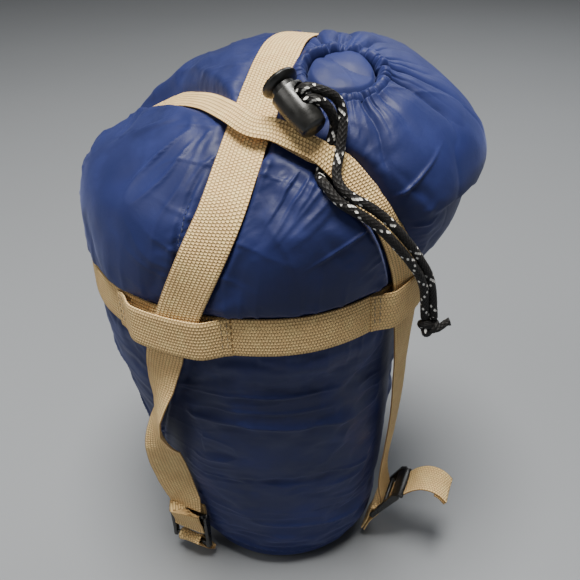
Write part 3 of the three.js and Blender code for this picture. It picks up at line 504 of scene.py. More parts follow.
def plastic(name, base, rough=0.32):
    m = Nodes(name)
    co = m.n("ShaderNodeTexCoord").outputs["Object"]
    n1, n2 = m.noise(220, 3, 0.6, co), m.noise(2600, 2, 0.6, co)
    geo = m.n("ShaderNodeNewGeometry").outputs["Pointiness"]
    col = m.mix(m.ramp(n1, 0.35, 0.7), lin(base), lin([q * 1.25 + 3 for q in base]))
    # lighter on the convex edges, by pointiness: painted highlight
    col = m.mix(m.ramp(geo, 0.55, 0.66, 0.0, 0.5), col, lin([q * 1.7 + 14 for q in base]))
    m.link(col, m.bsdf.inputs["Base Color"])
    m.link(m.ramp(n1, 0.3, 0.75, rough - 0.06, rough + 0.14), m.bsdf.inputs["Roughness"])
    m.link(m.bump(n2, 0.00006, 0.35), m.bsdf.inputs["Normal"])
    m.set(IOR=1.48, Coat_Weight=0.15, Coat_Roughness=0.25, Specular_IOR_Level=0.55)
    return m.mat


def thread_mat(name, base):
    m = Nodes(name)
    co = m.n("ShaderNodeTexCoord").outputs["Object"]
    m.link(m.mix(m.ramp(m.noise(1200, 2, 0.5, co), 0.3, 0.7), lin(base), lin([q * 0.75 for q in base])), m.bsdf.inputs["Base Color"])
    m.link(m.bump(m.noise(2500, 2, 0.5, co), 0.00008, 0.5), m.bsdf.inputs["Normal"])
    m.set(Roughness=0.7, Sheen_Weight=0.2)
    return m.mat


NYLON = nylon("nylon_blue", (33, 42, 93), 0.54)
NYLON_IN = nylon("nylon_contents", (38, 47, 98), 0.55)
WEB = webbing_mat("webbing_tan", (249, 210, 147))
CORD = cord_mat("cord_black")
ACETAL = plastic("acetal_black", (12, 12, 11))
STEEL = Nodes("spring_steel")
STEEL.set(Metallic=1.0, Roughness=0.3)
_c = STEEL.noise(900, 2, 0.5, STEEL.n("ShaderNodeTexCoord").outputs["Object"])
STEEL.link(STEEL.mix(_c, lin((150, 152, 156)), lin((196, 198, 200))), STEEL.bsdf.inputs["Base Color"])
STEEL = STEEL.mat
THREAD = thread_mat("thread_tan", (188, 166, 130))
THREAD_B = thread_mat("thread_blue", (34, 44, 82))


def done(ob, mat, body="sack", replaces=()):
    ob.data.materials.clear()
    ob.data.materials.append(mat)
    if body:
        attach(ob, body)
    if replaces:
        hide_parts(*replaces)
    return ob


# ------------------------------------------------------------- tubes, cords
def resample(P, step=None, count=None):
    P = np.asarray(P, float)
    s = np.r_[0, np.cumsum(np.linalg.norm(np.diff(P, axis=0), axis=1))]
    n = count or max(2, int(round(s[-1] / step)) + 1)
    u = np.linspace(0, s[-1], n)
    return np.stack([np.interp(u, s, P[:, k]) for k in range(P.shape[1])], 1), u


def frames(P):
    T = unit(np.gradient(P, axis=0))
    N = np.zeros_like(P)
    v = np.cross(T[0], [0.3, 0.9, 0.2])
    for i in range(len(P)):
        v = v - T[i] * (v @ T[i])
        v = v / np.linalg.norm(v)
        N[i] = v
    return T, N, np.cross(T, N)


def tube(name, P, d, sides=20, braid=0.0, caps=True, taper=None):
    T, N, B = frames(P)
    s = np.r_[0, np.cumsum(np.linalg.norm(np.diff(P, axis=0), axis=1))]
    a = np.arange(sides + 1) / sides
    th = a * 2 * math.pi
    r = np.full((len(P), sides + 1), d / 2)
    if braid:
        r = r + braid * (np.abs(np.sin(math.pi * (8 * a[None] + s[:, None] / 2.4))) * np.abs(np.sin(math.pi * (8 * a[None] - s[:, None] / 2.4))) - 0.5)
    if taper is not None:
        r = r * taper(s / s[-1])[:, None]
    V = P[:, None] + r[..., None] * (np.cos(th)[None, :, None] * N[:, None] + np.sin(th)[None, :, None] * B[:, None])
    V = V.reshape(-1, 3)
    uv = np.stack(np.broadcast_arrays(s[:, None], a[None]), -1).reshape(-1, 2)
    m, n = len(P), sides + 1
    q = grid_faces(m, n, wrap_n=False)
    q = q[:, ::-1]
    tri = []
    if caps:
        V = np.concatenate([V, P[:1] - T[:1] * d * 0.12, P[-1:] + T[-1:] * d * 0.12])
        uv = np.concatenate([uv, [[0, 0.5], [s[-1], 0.5]]])
        for j in range(sides):
            tri.append((m * n, j, j + 1))
            tri.append((m * n + 1, (m - 1) * n + j + 1, (m - 1) * n + j))
    return fast_mesh(name, V, q, tri, uv)


def cord_line(ctrl):
    P = catmull(ctrl, np.linspace(0, len(ctrl) - 1, len(ctrl) * 12))
    return resample(P, step=0.55)


# towards the knot the two strands lie against each other
for _k in range(1, 11):
    _m = (STRAND_1[-_k] + STRAND_2[-_k]) / 2
    _d = STRAND_2[-_k] - STRAND_1[-_k]
    _n = np.linalg.norm(_d)
    _w = min(1.0, (11 - _k) / 5)
    _t = _n * (1 - _w) + min(_n, 4.02) * _w
    STRAND_1[-_k], STRAND_2[-_k] = _m - _d / _n * _t / 2, _m + _d / _n * _t / 2

for k, ctrl in enumerate((STRAND_1, STRAND_2)):
    P, u = cord_line(ctrl)
    ob = tube("drawcord_strand_%d" % (k + 1), P, CORD_D, 22, 0.16)
    done(ob, CORD, "sack", ["cord_strand_%d" % (k + 1)])

# the knot: both strands drawn into one overhand turn, with a short frayed end
th = np.linspace(0, 2 * math.pi, 150)
tre = np.stack([np.sin(th) + 2 * np.sin(2 * th), -np.sin(3 * th) * 1.15, np.cos(th) - 2 * np.cos(2 * th)], 1)
knot_path = tre * np.array([1.12, 1.2, 1.08]) + KNOT + np.array([0.0, -0.2, 0.4])
knot = tube("drawcord_knot", knot_path, 4.1, 20, 0.14, caps=False)
done(knot, CORD, "sack", ["cord_knot"])
endp, _ = resample(catmull(np.array([[1.0, -1.0, -0.6], [3.4, -2.0, 0.2], [5.6, -1.6, 1.4], [7.6, -1.0, 2.9], [9.4, -0.7, 3.5]]) + KNOT, np.linspace(0, 4, 60)), step=0.4)
kend = tube("drawcord_end", endp, 3.3, 18, 0.12, taper=lambda f: np.where(f > 0.86, 1 + (f - 0.86) * 1.8, 1.0))
done(kend, CORD, "sack")

# ------------------------------------------------------------ strap mid-lines
def strap_line(table, t0=0.0, t1=None, per=24):
    t1 = len(table) - 1 if t1 is None else t1
    t = np.linspace(t0, t1, int((t1 - t0) * per) + 1)
    q = catmull(table, t)
    return q[:, :3], unit(q[:, 3:6]), q[:, 6], (q[:, 7] if q.shape[1] > 7 else np.ones(len(q)))


def ring_row(phi):
    lo, hi = np.full(len(phi), 8.0), np.full(len(phi), 12.0)
    for _ in range(30):
        m = (lo + hi) / 2
        p = sack_point(phi, m)
        up = p[:, 2] > RING_Z + RING_TX * p[:, 0] + RING_TY * p[:, 1]
        hi, lo = np.where(up, m, hi), np.where(up, lo, m)
    return (lo + hi) / 2


def ring_line(phi):
    t = ring_row(phi)
    e = 1e-3
    n = unit(np.cross(sack_point(phi + e, t) - sack_point(phi - e, t), sack_point(phi, t + e) - sack_point(phi, t - e)))
    h = unit(np.stack([n[:, 0], n[:, 1], 0 * phi], 1))
    return sack_point(phi, t) - 0.8 * h, h


ly = unit(LOCK_S - LOCK_E)
lz = np.array([0.34, -0.40, 0.85])
lz = unit(lz - ly * (lz @ ly))

# ------------------------------------------------------------- sack fabric
NP = 560
ROWS = 470


def pressed_grid(G, N):
    core = lambda P: unit(P - np.stack([16 * np.maximum(0, (P[..., 2] - 205) / 92), -17 * np.maximum(0, (P[..., 2] - 205) / 92), np.clip(P[..., 2], 45, 225)], -1))
    pa, na, da, wa = strap_line(STRAP_A, per=8)
    pb, nb, db, wb = strap_line(STRAP_B, per=8)
    ph = np.linspace(0, 2 * math.pi, 180, endpoint=False)
    pr, nr = ring_line(ph)
    c1, c2 = catmull(STRAND_1, np.linspace(3, len(STRAND_1) - 1, 90)), catmull(STRAND_2, np.linspace(3, len(STRAND_2) - 1, 90))
    nearest_n = lambda c: unit(c - np.array([16.0, -17.0, 215.0]))
    lk = LOCK_E + ly * np.linspace(-1, 24, 12)[:, None]
    lines = [
        (pa, na, da + 0.0, 10.6 * np.ones(len(pa)), 20.0, 11.0, "a"),
        (pb, nb, db + 0.0, 10.6 * np.maximum(wb, 0.5), 20.0, 11.0, "b"),
        (pr, nr, np.full(len(pr), 0.9), np.full(len(pr), 9.7), 18.0, 9.0, "r"),
        (c1, nearest_n(c1), np.full(len(c1), 1.7), np.full(len(c1), 1.2), 12.0, 8.0, "c"),
        (c2, nearest_n(c2), np.full(len(c2), 1.7), np.full(len(c2), 1.2), 12.0, 8.0, "c"),
        (lk, np.repeat(lz[None], 12, 0), np.full(12, 7.4), np.full(12, 4.0), 14.0, 9.0, "l"),
    ]
    shape = G.shape[:2]
    P = G.reshape(-1, 3).copy()
    D = core(P)
    near = {"a": (np.full(len(P), 99.0), np.zeros(len(P))), "b": (np.full(len(P), 99.0), np.zeros(len(P))), "r": (np.full(len(P), 99.0), np.zeros(len(P)))}
    for it in range(2):
        for L, n, d, flat, rise, reach, tag in lines:
            lo, hi = L.min(0) - 45, L.max(0) + 45
            cand = np.nonzero(((P > lo) & (P < hi)).all(1))[0]
            for s in range(0, len(cand), 20000):
                c = cand[s : s + 20000]
                dist = ((P[c][:, None] - L[None]) ** 2).sum(-1)
                k = dist.argmin(1)
                q = P[c] - L[k]
                h = (q * n[k]).sum(1)
                lat = np.linalg.norm(q - n[k] * h[:, None], axis=1)
                lim = -(d[k] + 0.75) + rise * (1 - np.exp(-np.maximum(lat - flat[k], 0) / reach))
                move = np.where((np.abs(h) < 30) & (h > lim), (lim - h) / np.maximum((n[k] * D[c]).sum(1), 0.45), 0)
                P[c] += D[c] * move[:, None]
                if tag in near:
                    ok = np.abs(h) < 30
                    near[tag][0][c] = np.where(ok, lat, 99)
                    near[tag][1][c] = k
    return P.reshape(G.shape), {k: (v[0].reshape(shape), v[1].reshape(shape)) for k, v in near.items()}


def up2(A):
    """twice as many rows and columns of a grid that closes on itself along its columns"""
    m = A.shape[0]
    B = np.repeat(A, 2, 0)[: 2 * m - 1].astype(float)
    B[1::2] = (A[:-1] + A[1:]) / 2
    C = np.repeat(B, 2, 1)
    C[:, 1::2] = (B + np.roll(B, -1, 1)) / 2
    return C


def soften(A, times=1):
    for _ in range(times):
        A = (np.roll(A, 1, 1) + 2 * A + np.roll(A, -1, 1)) / 4
        A[1:-1] = (A[:-2] + 2 * A[1:-1] + A[2:]) / 4
    return A


def regrid(A, m, n):
    """a grid that closes along its columns, at another number of rows and columns"""
    r = np.linspace(0, A.shape[0] - 1, m)
    c = np.arange(n) * A.shape[1] / n
    i, j = np.minimum(np.floor(r).astype(int), A.shape[0] - 2), np.floor(c).astype(int)
    f, g = (r - i)[:, None], (c - j)[None]
    if A.ndim == 3:
        f, g = f[..., None], g[..., None]
    j2 = (j + 1) % A.shape[1]
    a, b, e, h = A[i][:, j], A[i][:, j2], A[i + 1][:, j], A[i + 1][:, j2]
    return (a * (1 - g) + b * g) * (1 - f) + (e * (1 - g) + h * g) * f


def swell(A, hold, cap, m=140, n=204, slackness=0.011):
    """The cloth between the straps swells under pressure from inside: how far each grid point moves."""
    S, w = regrid(A, m, n), np.clip(regrid(hold, m, n), 0, 1)
    ob = fast_mesh("cloth_work", S.reshape(-1, 3), grid_faces(m, n))
    me = ob.data
    c = me.polygons[len(me.polygons) // 2]
    k = m // 2
    if Vector(c.normal).dot(Vector((c.center[0], c.center[1], 0))) < 0:
        me.flip_normals()
    vg = ob.vertex_groups.new(name="hold")
    wf = w.reshape(-1)
    for level in np.linspace(0, 1, 11)[1:]:
        idx = np.nonzero((wf > level - 0.1) & (wf <= level + 1e-9))[0]
        if len(idx):
            vg.add([int(q) for q in idx], float(level), "REPLACE")
    md = ob.modifiers.new("cloth", "CLOTH")
    cs = md.settings
    cs.quality = 6
    cs.mass = 0.15
    cs.air_damping = 2.0
    cs.tension_stiffness = cs.compression_stiffness = 18
    cs.shear_stiffness = 6
    cs.bending_stiffness = 0.5
    cs.tension_damping = cs.compression_damping = cs.shear_damping = 8
    cs.shrink_min = -slackness
    cs.shrink_max = -slackness
    cs.use_pressure = True
    cs.uniform_pressure_force = 4.0
    cs.effector_weights.gravity = 0.0
    cs.vertex_group_mass = "hold"
    cs.pin_stiffness = 1.0
    md.collision_settings.use_collision = False
    md.collision_settings.use_self_collision = False
    md.point_cache.frame_start, md.point_cache.frame_end = 1, 20
    for f in range(1, 21):
        bpy.context.scene.frame_set(f)
    dg = bpy.context.evaluated_depsgraph_get()
    ev = ob.evaluated_get(dg)
    co = np.zeros(len(me.vertices) * 3, np.float32)
    ev.data.vertices.foreach_get("co", co)
    bpy.context.scene.frame_set(1)
    bpy.data.objects.remove(ob)
    bpy.data.meshes.remove(me)
    D = co.reshape(m, n, 3) / MM - S
    D = np.where(np.isfinite(D), D, 0)
    L = np.linalg.norm(D, axis=-1, keepdims=True)
    D = D * np.minimum(1, cap / np.maximum(L, 1e-6)) * (1 - w[..., None] ** 2)
    return regrid(D, A.shape[0], A.shape[1])


# rows evenly spaced along the side of the sack
tt = np.linspace(0.0, 17.75, 3000)
side = sack_point(np.full(3000, -math.pi / 2), tt)
arcl = np.r_[0, np.cumsum(np.linalg.norm(np.diff(side, axis=0), axis=1))]
t_rows = np.interp(np.linspace(0, arcl[-1], ROWS // 2 + 1), arcl, tt)
phi_c = np.linspace(0, 2 * math.pi, NP // 2, endpoint=False)
T2, PH2 = np.meshgrid(t_rows, phi_c, indexing="ij")
G0 = sack_point(PH2, T2)
low = T2 < 3.0
Gp, near = pressed_grid(G0, None)
Gp = np.where(low[..., None], G0, Gp)
SIM = np.zeros(Gp.shape)
lat_a, lat_b, lat_r = near["a"][0], near["b"][0], near["r"][0]
hold = np.maximum.reduce([1 - smooth01(lat_a, 10.5, 15), 1 - smooth01(lat_b, 9.0, 13), 1 - smooth01(lat_r, 10.5, 14), 1 - smooth01(T2, 3.2, 4.2), smooth01(T2, 17.2, 17.7)])
cg = np.linalg.norm(Gp - (LOCK_E + ly * 12), axis=-1)
for line in (STRAND_1, STRAND_2):
    pts = catmull(line, np.linspace(3, len(line) - 1, 40))
    for q in pts[::2]:
        cg = np.minimum(cg, np.linalg.norm(Gp - q, axis=-1) + 4)
hold = np.maximum(hold, 1 - smooth01(cg, 10, 16))
SIM = swell(Gp, hold, 4.0)
Gp = Gp + SIM
G = soften(up2(Gp), 2)
T_ = up2(T2)
PHI = np.arange(NP) / NP * 2 * math.pi
PHI = np.broadcast_to(PHI, T_.shape)
LAT = {k: up2(v[0]) for k, v in near.items()}
K_ = {k: up2(v[1]) for k, v in near.items()}
for k in K_:
    K_[k][:, -1] = K_[k][:, -2]
    K_[k] = soften(K_[k], 8)
    LAT[k] = soften(LAT[k], 2)
N_ = grid_normals(G)
if (N_[len(N_) // 2, :, :2] * G[len(G) // 2, :, :2]).sum() < 0:
    N_ = -N_

X, Y, Z = G[..., 0], G[..., 1], G[..., 2]
az = np.arctan2(Y, X)
R = np.hypot(X, Y)
arc = PHI * 85.0
H = np.zeros(T_.shape)
body = smooth01(T_, 2.8, 4.0) * (1 - smooth01(Z, 150, 200) * 0.75)
# large soft lumps from what is packed inside
H += 1.9 * fbm(G, 62, 2, 3) * smooth01(T_, 2.5, 5)
H += 0.55 * fbm(G, 21, 2, 9) * smooth01(T_, 3, 4)
# horizontal folds of the slack lower body
warp = 11 * noise(X / 70, Y / 70, Z / 80, 21) + 3 * noise(X / 32, Y / 32, Z / 50, 23)
dseam = np.angle(np.exp(1j * (az - np.interp(Z, SEAM_Z, SEAM_A)))) * R
v = (Z + warp + 0.12 * dseam) / 15.0
f1 = np.clip(ridged(PHI * 85 / 105, v, 0.3, 31), 0, 1) ** 3.0
f2 = np.clip(ridged(PHI * 85 / 80, (Z + warp * 0.9 + 0.09 * dseam) / 9.0, 2.7, 37), 0, 1) ** 2.6
slack = smooth01(Z, 3, 18) * (1 - smooth01(Z, 150, 192))
near_seam = 0.55 + 0.75 * np.exp(-np.maximum(dseam, 0) / 55) * (dseam > -8)
patch = 0.30 + 0.70 * smooth01(noise(X / 52, Y / 52, Z / 36, 41), -0.3, 0.35)
H += slack * patch * near_seam * (3.2 * f1 + 1.5 * f2 - 1.1)
f3 = np.clip(ridged(PHI * 85 / 26, (Z + warp) / 5.2, 5.1, 43), 0, 1) ** 2
H += slack * smooth01(noise(X / 40, Y / 40, Z / 40, 45), 0.0, 0.5) * (f3 - 0.4) * 0.25
# puckers at the ring, at the straps and over the base seam
ring_up = np.exp(-np.maximum(LAT["r"] - 9.5, 0) / 11.0)
kk = np.clip(ridged(PHI * 85 / 6.5, Z / 45, 0.0, 51), 0, 1) ** 1.6
H += ring_up * (kk - 0.45) * 1.25 * smooth01(LAT["r"], 8, 11)
def creases(k, lat, cell, seed, lo_, hi_):
    reach = lo_ + (hi_ - lo_) * np.clip(0.5 + 0.95 * noise(k * cell * 0.4, 0.5, 0.0, seed + 5), 0, 1)
    bend = 0.35 * noise(lat / 22, k * cell * 0.5, 0.0, seed + 7)
    c = np.clip(ridged(k * cell + bend, lat / 120, 0.0, seed), 0, 1) ** 3.0
    return (c - 0.22) * np.exp(-np.maximum(lat - 10, 0) / reach)


for tag, amp, cell in (("a", 0.85, 0.20), ("b", 1.8, 0.23)):
    lat, kx = LAT[tag], K_[tag]
    e = smooth01(lat, 8.0, 12.0) * (1 - smooth01(lat, 26, 44)) * smooth01(Z, 205, 245) * (0.25 + 0.75 * smooth01(np.linalg.norm(G - np.array(MC), axis=-1), 37, 59))
    H += e * amp * (creases(kx, lat, cell, 61 if tag == "a" else 67, 6, 34) * 1.15 + 0.8 * creases(kx, lat, cell * 0.5, 69, 14, 30))
# folds fanning out from where the straps cross
cross = np.array([-18.0, -39.0, 288.0])
q = G - cross
ex, ey = unit(np.array([1.0, 0.0, 0.25])), unit(np.array([0.0, -1.0, -0.75]))
u_, v_ = q @ ex, q @ ey
ang, rad = np.arctan2(v_, u_), np.linalg.norm(q, axis=-1)
fan = np.clip(ridged(ang * 5.2 + 0.45 * noise(X / 34, Y / 34, Z / 34, 71), rad / 130, 0.0, 73), 0, 1) ** 2.8
H += (fan - 0.25) * 2.9 * smooth01(np.minimum(LAT["a"], LAT["b"]), 12, 34) * smooth01(rad, 8, 26) * np.exp(-np.maximum(rad - 26, 0) / 30)
# gathers round the mouth
mq = G - np.array(MC)
mang = np.arctan2(mq[..., 1], mq[..., 0])
mrad = np.linalg.norm(mq, axis=-1)
mm = np.maximum(mrad - 17, 0)
jit = 0.35 * noise(X / 16, Y / 16, Z / 16, 81)


def round_noise(a, count, rad_, seed):
    x = (a / (2 * math.pi)) * count
    n0 = ridged(x + jit * 1.2, rad_, 0.0, seed)
    n1 = ridged(x - count + jit * 1.2, rad_, 0.0, seed)
    w = smooth01(a, math.pi * 0.82, math.pi)
    return n0 * (1 - w) + n1 * w


def puff(a, count, rad_, seed, p=0.75, j=0.0):
    x = (a / (2 * math.pi)) * count
    n0, n1 = np.abs(noise(x + j, rad_, 0.0, seed)), np.abs(noise(x - count + j, rad_, 0.0, seed))
    w = smooth01(a, math.pi * 0.82, math.pi)
    return (np.minimum(1.0, (n0 * (1 - w) + n1 * w) * 1.7)) ** p


def gather(a, d, j=0.0):
    g1, g2, g3 = puff(a, 21, d / 95, 91, 0.5, j), puff(a, 10, d / 110, 93, 0.6, j), puff(a, 44, d / 70, 95, 0.6, j)
    return (g1 - 0.65) * 3.6 * np.exp(-d / 34) + (g2 - 0.6) * 3.0 * np.exp(-d / 50) * smooth01(d, 2, 16) + (g3 - 0.55) * 1.9 * np.exp(-d / 14)


H += gather(mang, mm, jit * 0.6) + 3.2 * np.exp(-mm / 6.5)
# straps flatten the folds beneath them
under = np.ones(T_.shape)
for tag in ("a", "b", "r"):
    under *= smooth01(LAT[tag], 6.5, 13.5) * 0.9 + 0.1
H = H * under + np.minimum(H, 0) * 0
# side seam: a stitched ridge down the front left
seam_az = np.interp(Z, SEAM_Z, SEAM_A)
sd = (np.angle(np.exp(1j * (az - seam_az)))) * R
keep_low = smooth01(T_, 3.1, 3.6) * (1 - smooth01(Z, 262, 280))
H += keep_low * (0.8 * np.exp(-(((sd - 2.6) / 2.2) ** 2)) - 1.15 * np.exp(-((sd / 1.0) ** 2)) + 0.5 * np.exp(-(((sd + 2.2) / 1.8) ** 2)) * np.clip(ridged(Z / 5.5, 0.5, 0, 97), 0, 1))
# base seam: a raised welt
H += 1.0 * np.exp(-(((T_ - 3.05) / 0.16) ** 2)) - 0.8 * np.exp(-(((T_ - 3.4) / 0.14) ** 2))
G = G + N_ * H[..., None]
G[..., 2] = np.where(T_ < 3.2, np.maximum(G[..., 2], 0.02 + 0.0 * Z), np.maximum(G[..., 2], 0.05))
flatb = T_ < 1.0
G[..., 2] = np.where(flatb, 0.0, G[..., 2])

# mouth roll: the gathered channel, turned in over the cord
mx, my, mn = np.array([1.0, 0, 0]), unit(np.array([0, 1, MK])), unit(np.array([0, -MK, 1]))
ph = np.arange(NP) / NP * 2 * math.pi
nn = unit(np.stack([np.cos(ph) / CH_RX, np.sin(ph) / CH_RY], 1))
rim_a = np.arctan2(CH_RY * np.sin(ph), CH_RX * np.cos(ph))
ripple = gather(rim_a, np.zeros(NP)) + 0.5 * noise(np.cos(ph) * 6, np.sin(ph) * 6, 0.0, 107)
tuck = puff(rim_a, 21, 0.0, 91, 0.7) - 0.5
rows_extra = []
profile = [(3.3, 1.9, 0.9), (2.3, 2.9, 1.0), (1.1, 3.6, 1.0), (-0.1, 3.8, 1.0), (-1.2, 3.3, 0.95), (-2.0, 2.3, 0.85), (-2.5, 0.9, 0.7), (-2.7, -0.9, 0.6), (-2.7, -3.0, 0.5), (-2.6, -5.4, 0.4), (-2.6, -8.0, 0.3)]
pp = catmull(np.array(profile), np.linspace(0, len(profile) - 1, 30))
for o, upv, amp in pp:
    inner = smooth01(-o, -2.0, 2.5)
    o2 = o + tuck * 1.9 * amp * inner
    u2 = upv + ripple * 0.62 * amp * (1 - 0.35 * inner)
    base = np.array(MC)[None] + mx * (CH_RX * np.cos(ph))[:, None] + my * (CH_RY * np.sin(ph))[:, None]
    rows_extra.append(base + mx * (nn[:, 0] * o2)[:, None] + my * (nn[:, 1] * o2)[:, None] + mn * (u2 + 0.1)[:, None])
E = np.array(rows_extra)
# join: a few rows carry the wall up into the roll
last = G[-1]
bridge = [last * (1 - w) + E[0] * w for w in (0.33, 0.66)]
full = np.concatenate([G, np.array(bridge), E])
full[-len(E) - 4 : -len(E) + 2] = soften(full[-len(E) - 4 : -len(E) + 2].copy(), 1)
m_, n_ = full.shape[:2]
verts = full.reshape(-1, 3)
quads = grid_faces(m_, n_)
sack = fast_mesh("sack_fabric", verts, quads[:, ::1], (), np.stack([np.broadcast_to(PHI[0] * 85, (m_, n_)).ravel(), np.repeat(np.arange(m_), n_)], -1))
done(sack, NYLON, "sack", ["sack_side_wall", "sack_base_panel", "drawcord_channel"])

lpa = np.linspace(0, 2 * math.pi, 120)
lp = np.array(MC)[None] + mx * ((CH_RX - 0.2) * np.cos(lpa))[:, None] + my * ((CH_RY - 0.2) * np.sin(lpa))[:, None] + mn * 1.0
loop = tube("drawcord_in_channel", lp, 3.0, 14, 0.1)
done(loop, CORD, "sack", ["drawcord_loop"])

# what is packed inside shows as a smooth bulge in the mouth
ar, aa = np.meshgrid(np.linspace(0, 1, 40), np.linspace(0, 2 * math.pi, 120, endpoint=False), indexing="ij")
rr = ar * 16.4
cx = MC[0] + rr * np.cos(aa)
cy = MC[1] + rr * np.sin(aa) * 0.9
cz = MC[2] + 1.2 + MK * (cy - MC[1]) * 0.97 + 3.4 * (1 - ar**2) - 5.5 * smooth01(ar, 0.78, 1.0)
crease = (cx - MC[0]) * 0.62 + (cy - MC[1]) * 0.78 - 1.5 - 0.03 * (cx - MC[0]) ** 2
cz += 1.5 * (1 - np.exp(-np.abs(crease) / 2.6)) - 1.5 + 0.9 * smooth01(crease, -1, -9) + 0.5 * noise(cx / 7, cy / 7, 0, 113)
cz += 0.45 * np.clip(ridged(cx / 8 + cy / 14, cy / 30, 0, 111), 0, 1) ** 2
skirt = np.stack([cx[-1], cy[-1], cz[-1] - 5], -1)[None]
C = np.concatenate([np.stack([cx, cy, cz], -1), skirt])
bulge = fast_mesh("contents_bulge", C.reshape(-1, 3), grid_faces(*C.shape[:2])[:, ::-1])
done(bulge, NYLON_IN, "sack", ["packed_contents"])


# ---------------------------------------------------------------- webbing
def webbing(name, P, N, w=None, step=0.9, thick=WEB_T, width=WEB_W, wave=0.12, closed=False, curl=0.0):
    """A strip of webbing along mid-line P with outward normals N. w under 1 folds its lower part under."""
    P, N = np.asarray(P, float), np.asarray(N, float)
    w = np.ones(len(P)) if w is None else np.asarray(w, float)
    if closed:
        P, N, w = np.vstack([P, P[:1]]), np.vstack([N, N[:1]]), np.r_[w, w[:1]]
    s = np.r_[0, np.cumsum(np.linalg.norm(np.diff(P, axis=0), axis=1))]
    n = max(4, int(s[-1] / step))
    u = np.linspace(0, s[-1], n + 1)
    if closed:
        u = u[:-1]
    it = lambda A: np.stack([np.interp(u, s, A[:, k]) for k in range(A.shape[1])], 1)
    P, N, w = it(P), unit(it(N)), np.interp(u, s, w)
    if closed:
        T = unit(np.roll(P, -1, 0) - np.roll(P, 1, 0))
    else:
        T = unit(np.gradient(P, axis=0))
    W = unit(np.cross(T, N))
    N = unit(np.cross(W, T))
    K = 19
    a = np.linspace(0, width, K)
    r = 0.95
    cx, cy, nx, ny = (np.zeros((len(P), K)) for _ in range(4))
    for k in range(K):
        L1 = width * w
        over = np.maximum(a[k] - L1, 0)
        th = np.minimum(over / r, math.pi)
        back = np.maximum(over - math.pi * r, 0)
        x0 = width * w / 2
        cx[:, k] = np.where(over > 0, -x0 - r * np.sin(th) + back, x0 - a[k])
        cy[:, k] = np.where(over > 0, -r * (1 - np.cos(th)), 0)
        nx[:, k], ny[:, k] = -np.sin(th), np.cos(th)
    edge = 1 - 0.45 * np.abs(np.linspace(-1, 1, K)) ** 10
    h = thick / 2 * edge[None]
    sway = wave * (noise(u / 23, 0.3, 0, 7 + len(name)) + 0.5 * noise(u / 9, 0.7, 0, 9))[:, None]
    cup = curl * (np.linspace(-1, 1, K) ** 2)[None]
    top = np.stack([cx + nx * h, cy + ny * h + sway + cup], -1)
    bot = np.stack([cx - nx * h, cy - ny * h + sway + cup], -1)[:, ::-1]
    sec = np.concatenate([top, bot], 1)
    V = P[:, None] + W[:, None] * sec[..., :1] + N[:, None] * sec[..., 1:]
    m, n2 = V.shape[:2]
    va = np.r_[a, a[::-1] + 0.01]
    uv = np.stack(np.broadcast_arrays(u[:, None], va[None]), -1).reshape(-1, 2)
    q = grid_faces(m, n2, wrap_n=True, wrap_m=closed)
    tri = []
    if not closed:
        for e, flip in ((0, False), (m - 1, True)):
            for k in range(K - 1):
                i0, i1, j0, j1 = e * n2 + k, e * n2 + k + 1, e * n2 + n2 - 1 - k, e * n2 + n2 - 2 - k
                f = [(i0, j0, j1), (i0, j1, i1)]
                tri += [t[::-1] for t in f] if flip else f
    return fast_mesh(name, V.reshape(-1, 3), q, tri, uv), (P, T, W, N, u)


def stitches(name, runs, mat, thick=0.5, length=2.6, gap=1.0, body="sack"):
    """Rows of short stitches: each run is a line of points lying on the cloth, with its normals."""
    V, Q = [], []
    for P, N in runs:
        s = np.r_[0, np.cumsum(np.linalg.norm(np.diff(P, axis=0), axis=1))]
        x = 0.3
        while x + length < s[-1]:
            ts = np.linspace(0, 1, 6)
            c = np.stack([np.interp(x + ts * length, s, P[:, k]) for k in range(3)], 1)
            n = unit(np.stack([np.interp(x + ts * length, s, N[:, k]) for k in range(3)], 1))
            t = unit(np.gradient(c, axis=0))
            w = unit(np.cross(t, n))
            lift = np.sin(ts * math.pi) ** 0.6
            b = len(V)
            for i in range(6):
                for j in range(6):
                    th = j / 6 * 2 * math.pi
                    V.append(c[i] + w[i] * math.cos(th) * thick / 2 * (0.35 + 0.65 * lift[i]) + n[i] * (math.sin(th) * thick / 2 + thick * 0.35 * lift[i] - 0.12))
            for i in range(5):
                for j in range(6):
                    Q.append((b + i * 6 + j, b + i * 6 + (j + 1) % 6, b + (i + 1) * 6 + (j + 1) % 6, b + (i + 1) * 6 + j))
            x += length + gap
    ob = fast_mesh(name, V, Q)
    return done(ob, mat, body)


def arcp(y0, z0, r, a, b, n):
    return [[y0 + r * math.cos(a + (b - a) * i / n), z0 + r * math.sin(a + (b - a) * i / n)] for i in range(n + 1)]


def buckle_frame(o, x, y):
    x, y = np.array(x, float), np.array(y, float)
    z = unit(np.cross(x, y))
    return np.array(o, float), unit(x), unit(np.cross(z, x)), z


FL = buckle_frame([-54.8, -43.6, 15.6], [0.906, -0.423, 0], [0.02, 0.0, 1])
RT = buckle_frame([61.6, -25.4, 27], [0.36, 0.93, 0], [0.47, -0.18, 0.88])
BAR_MID, TURN = 12.0, 1.4 + 0.4 + 0.6


def planar(f, rows, sign=1.0):
    rows = np.array(rows, float)
    P = f[0] + f[2] * rows[:, :1] + f[3] * rows[:, 1:]
    Pd = catmull(P, np.linspace(0, len(P) - 1, (len(P) - 1) * 8 + 1))
    N = sign * unit(np.cross(f[1][None], np.gradient(Pd, axis=0)))
    return Pd, N


KA, KB = 9.0, 24.0
# strap A over the top and down the back
pa, na, da, wa = strap_line(STRAP_A, KA - 0.6)
oa, info_a = webbing("strap_a_main", pa, na)
done(oa, WEB, "sack", ["strap_a"])
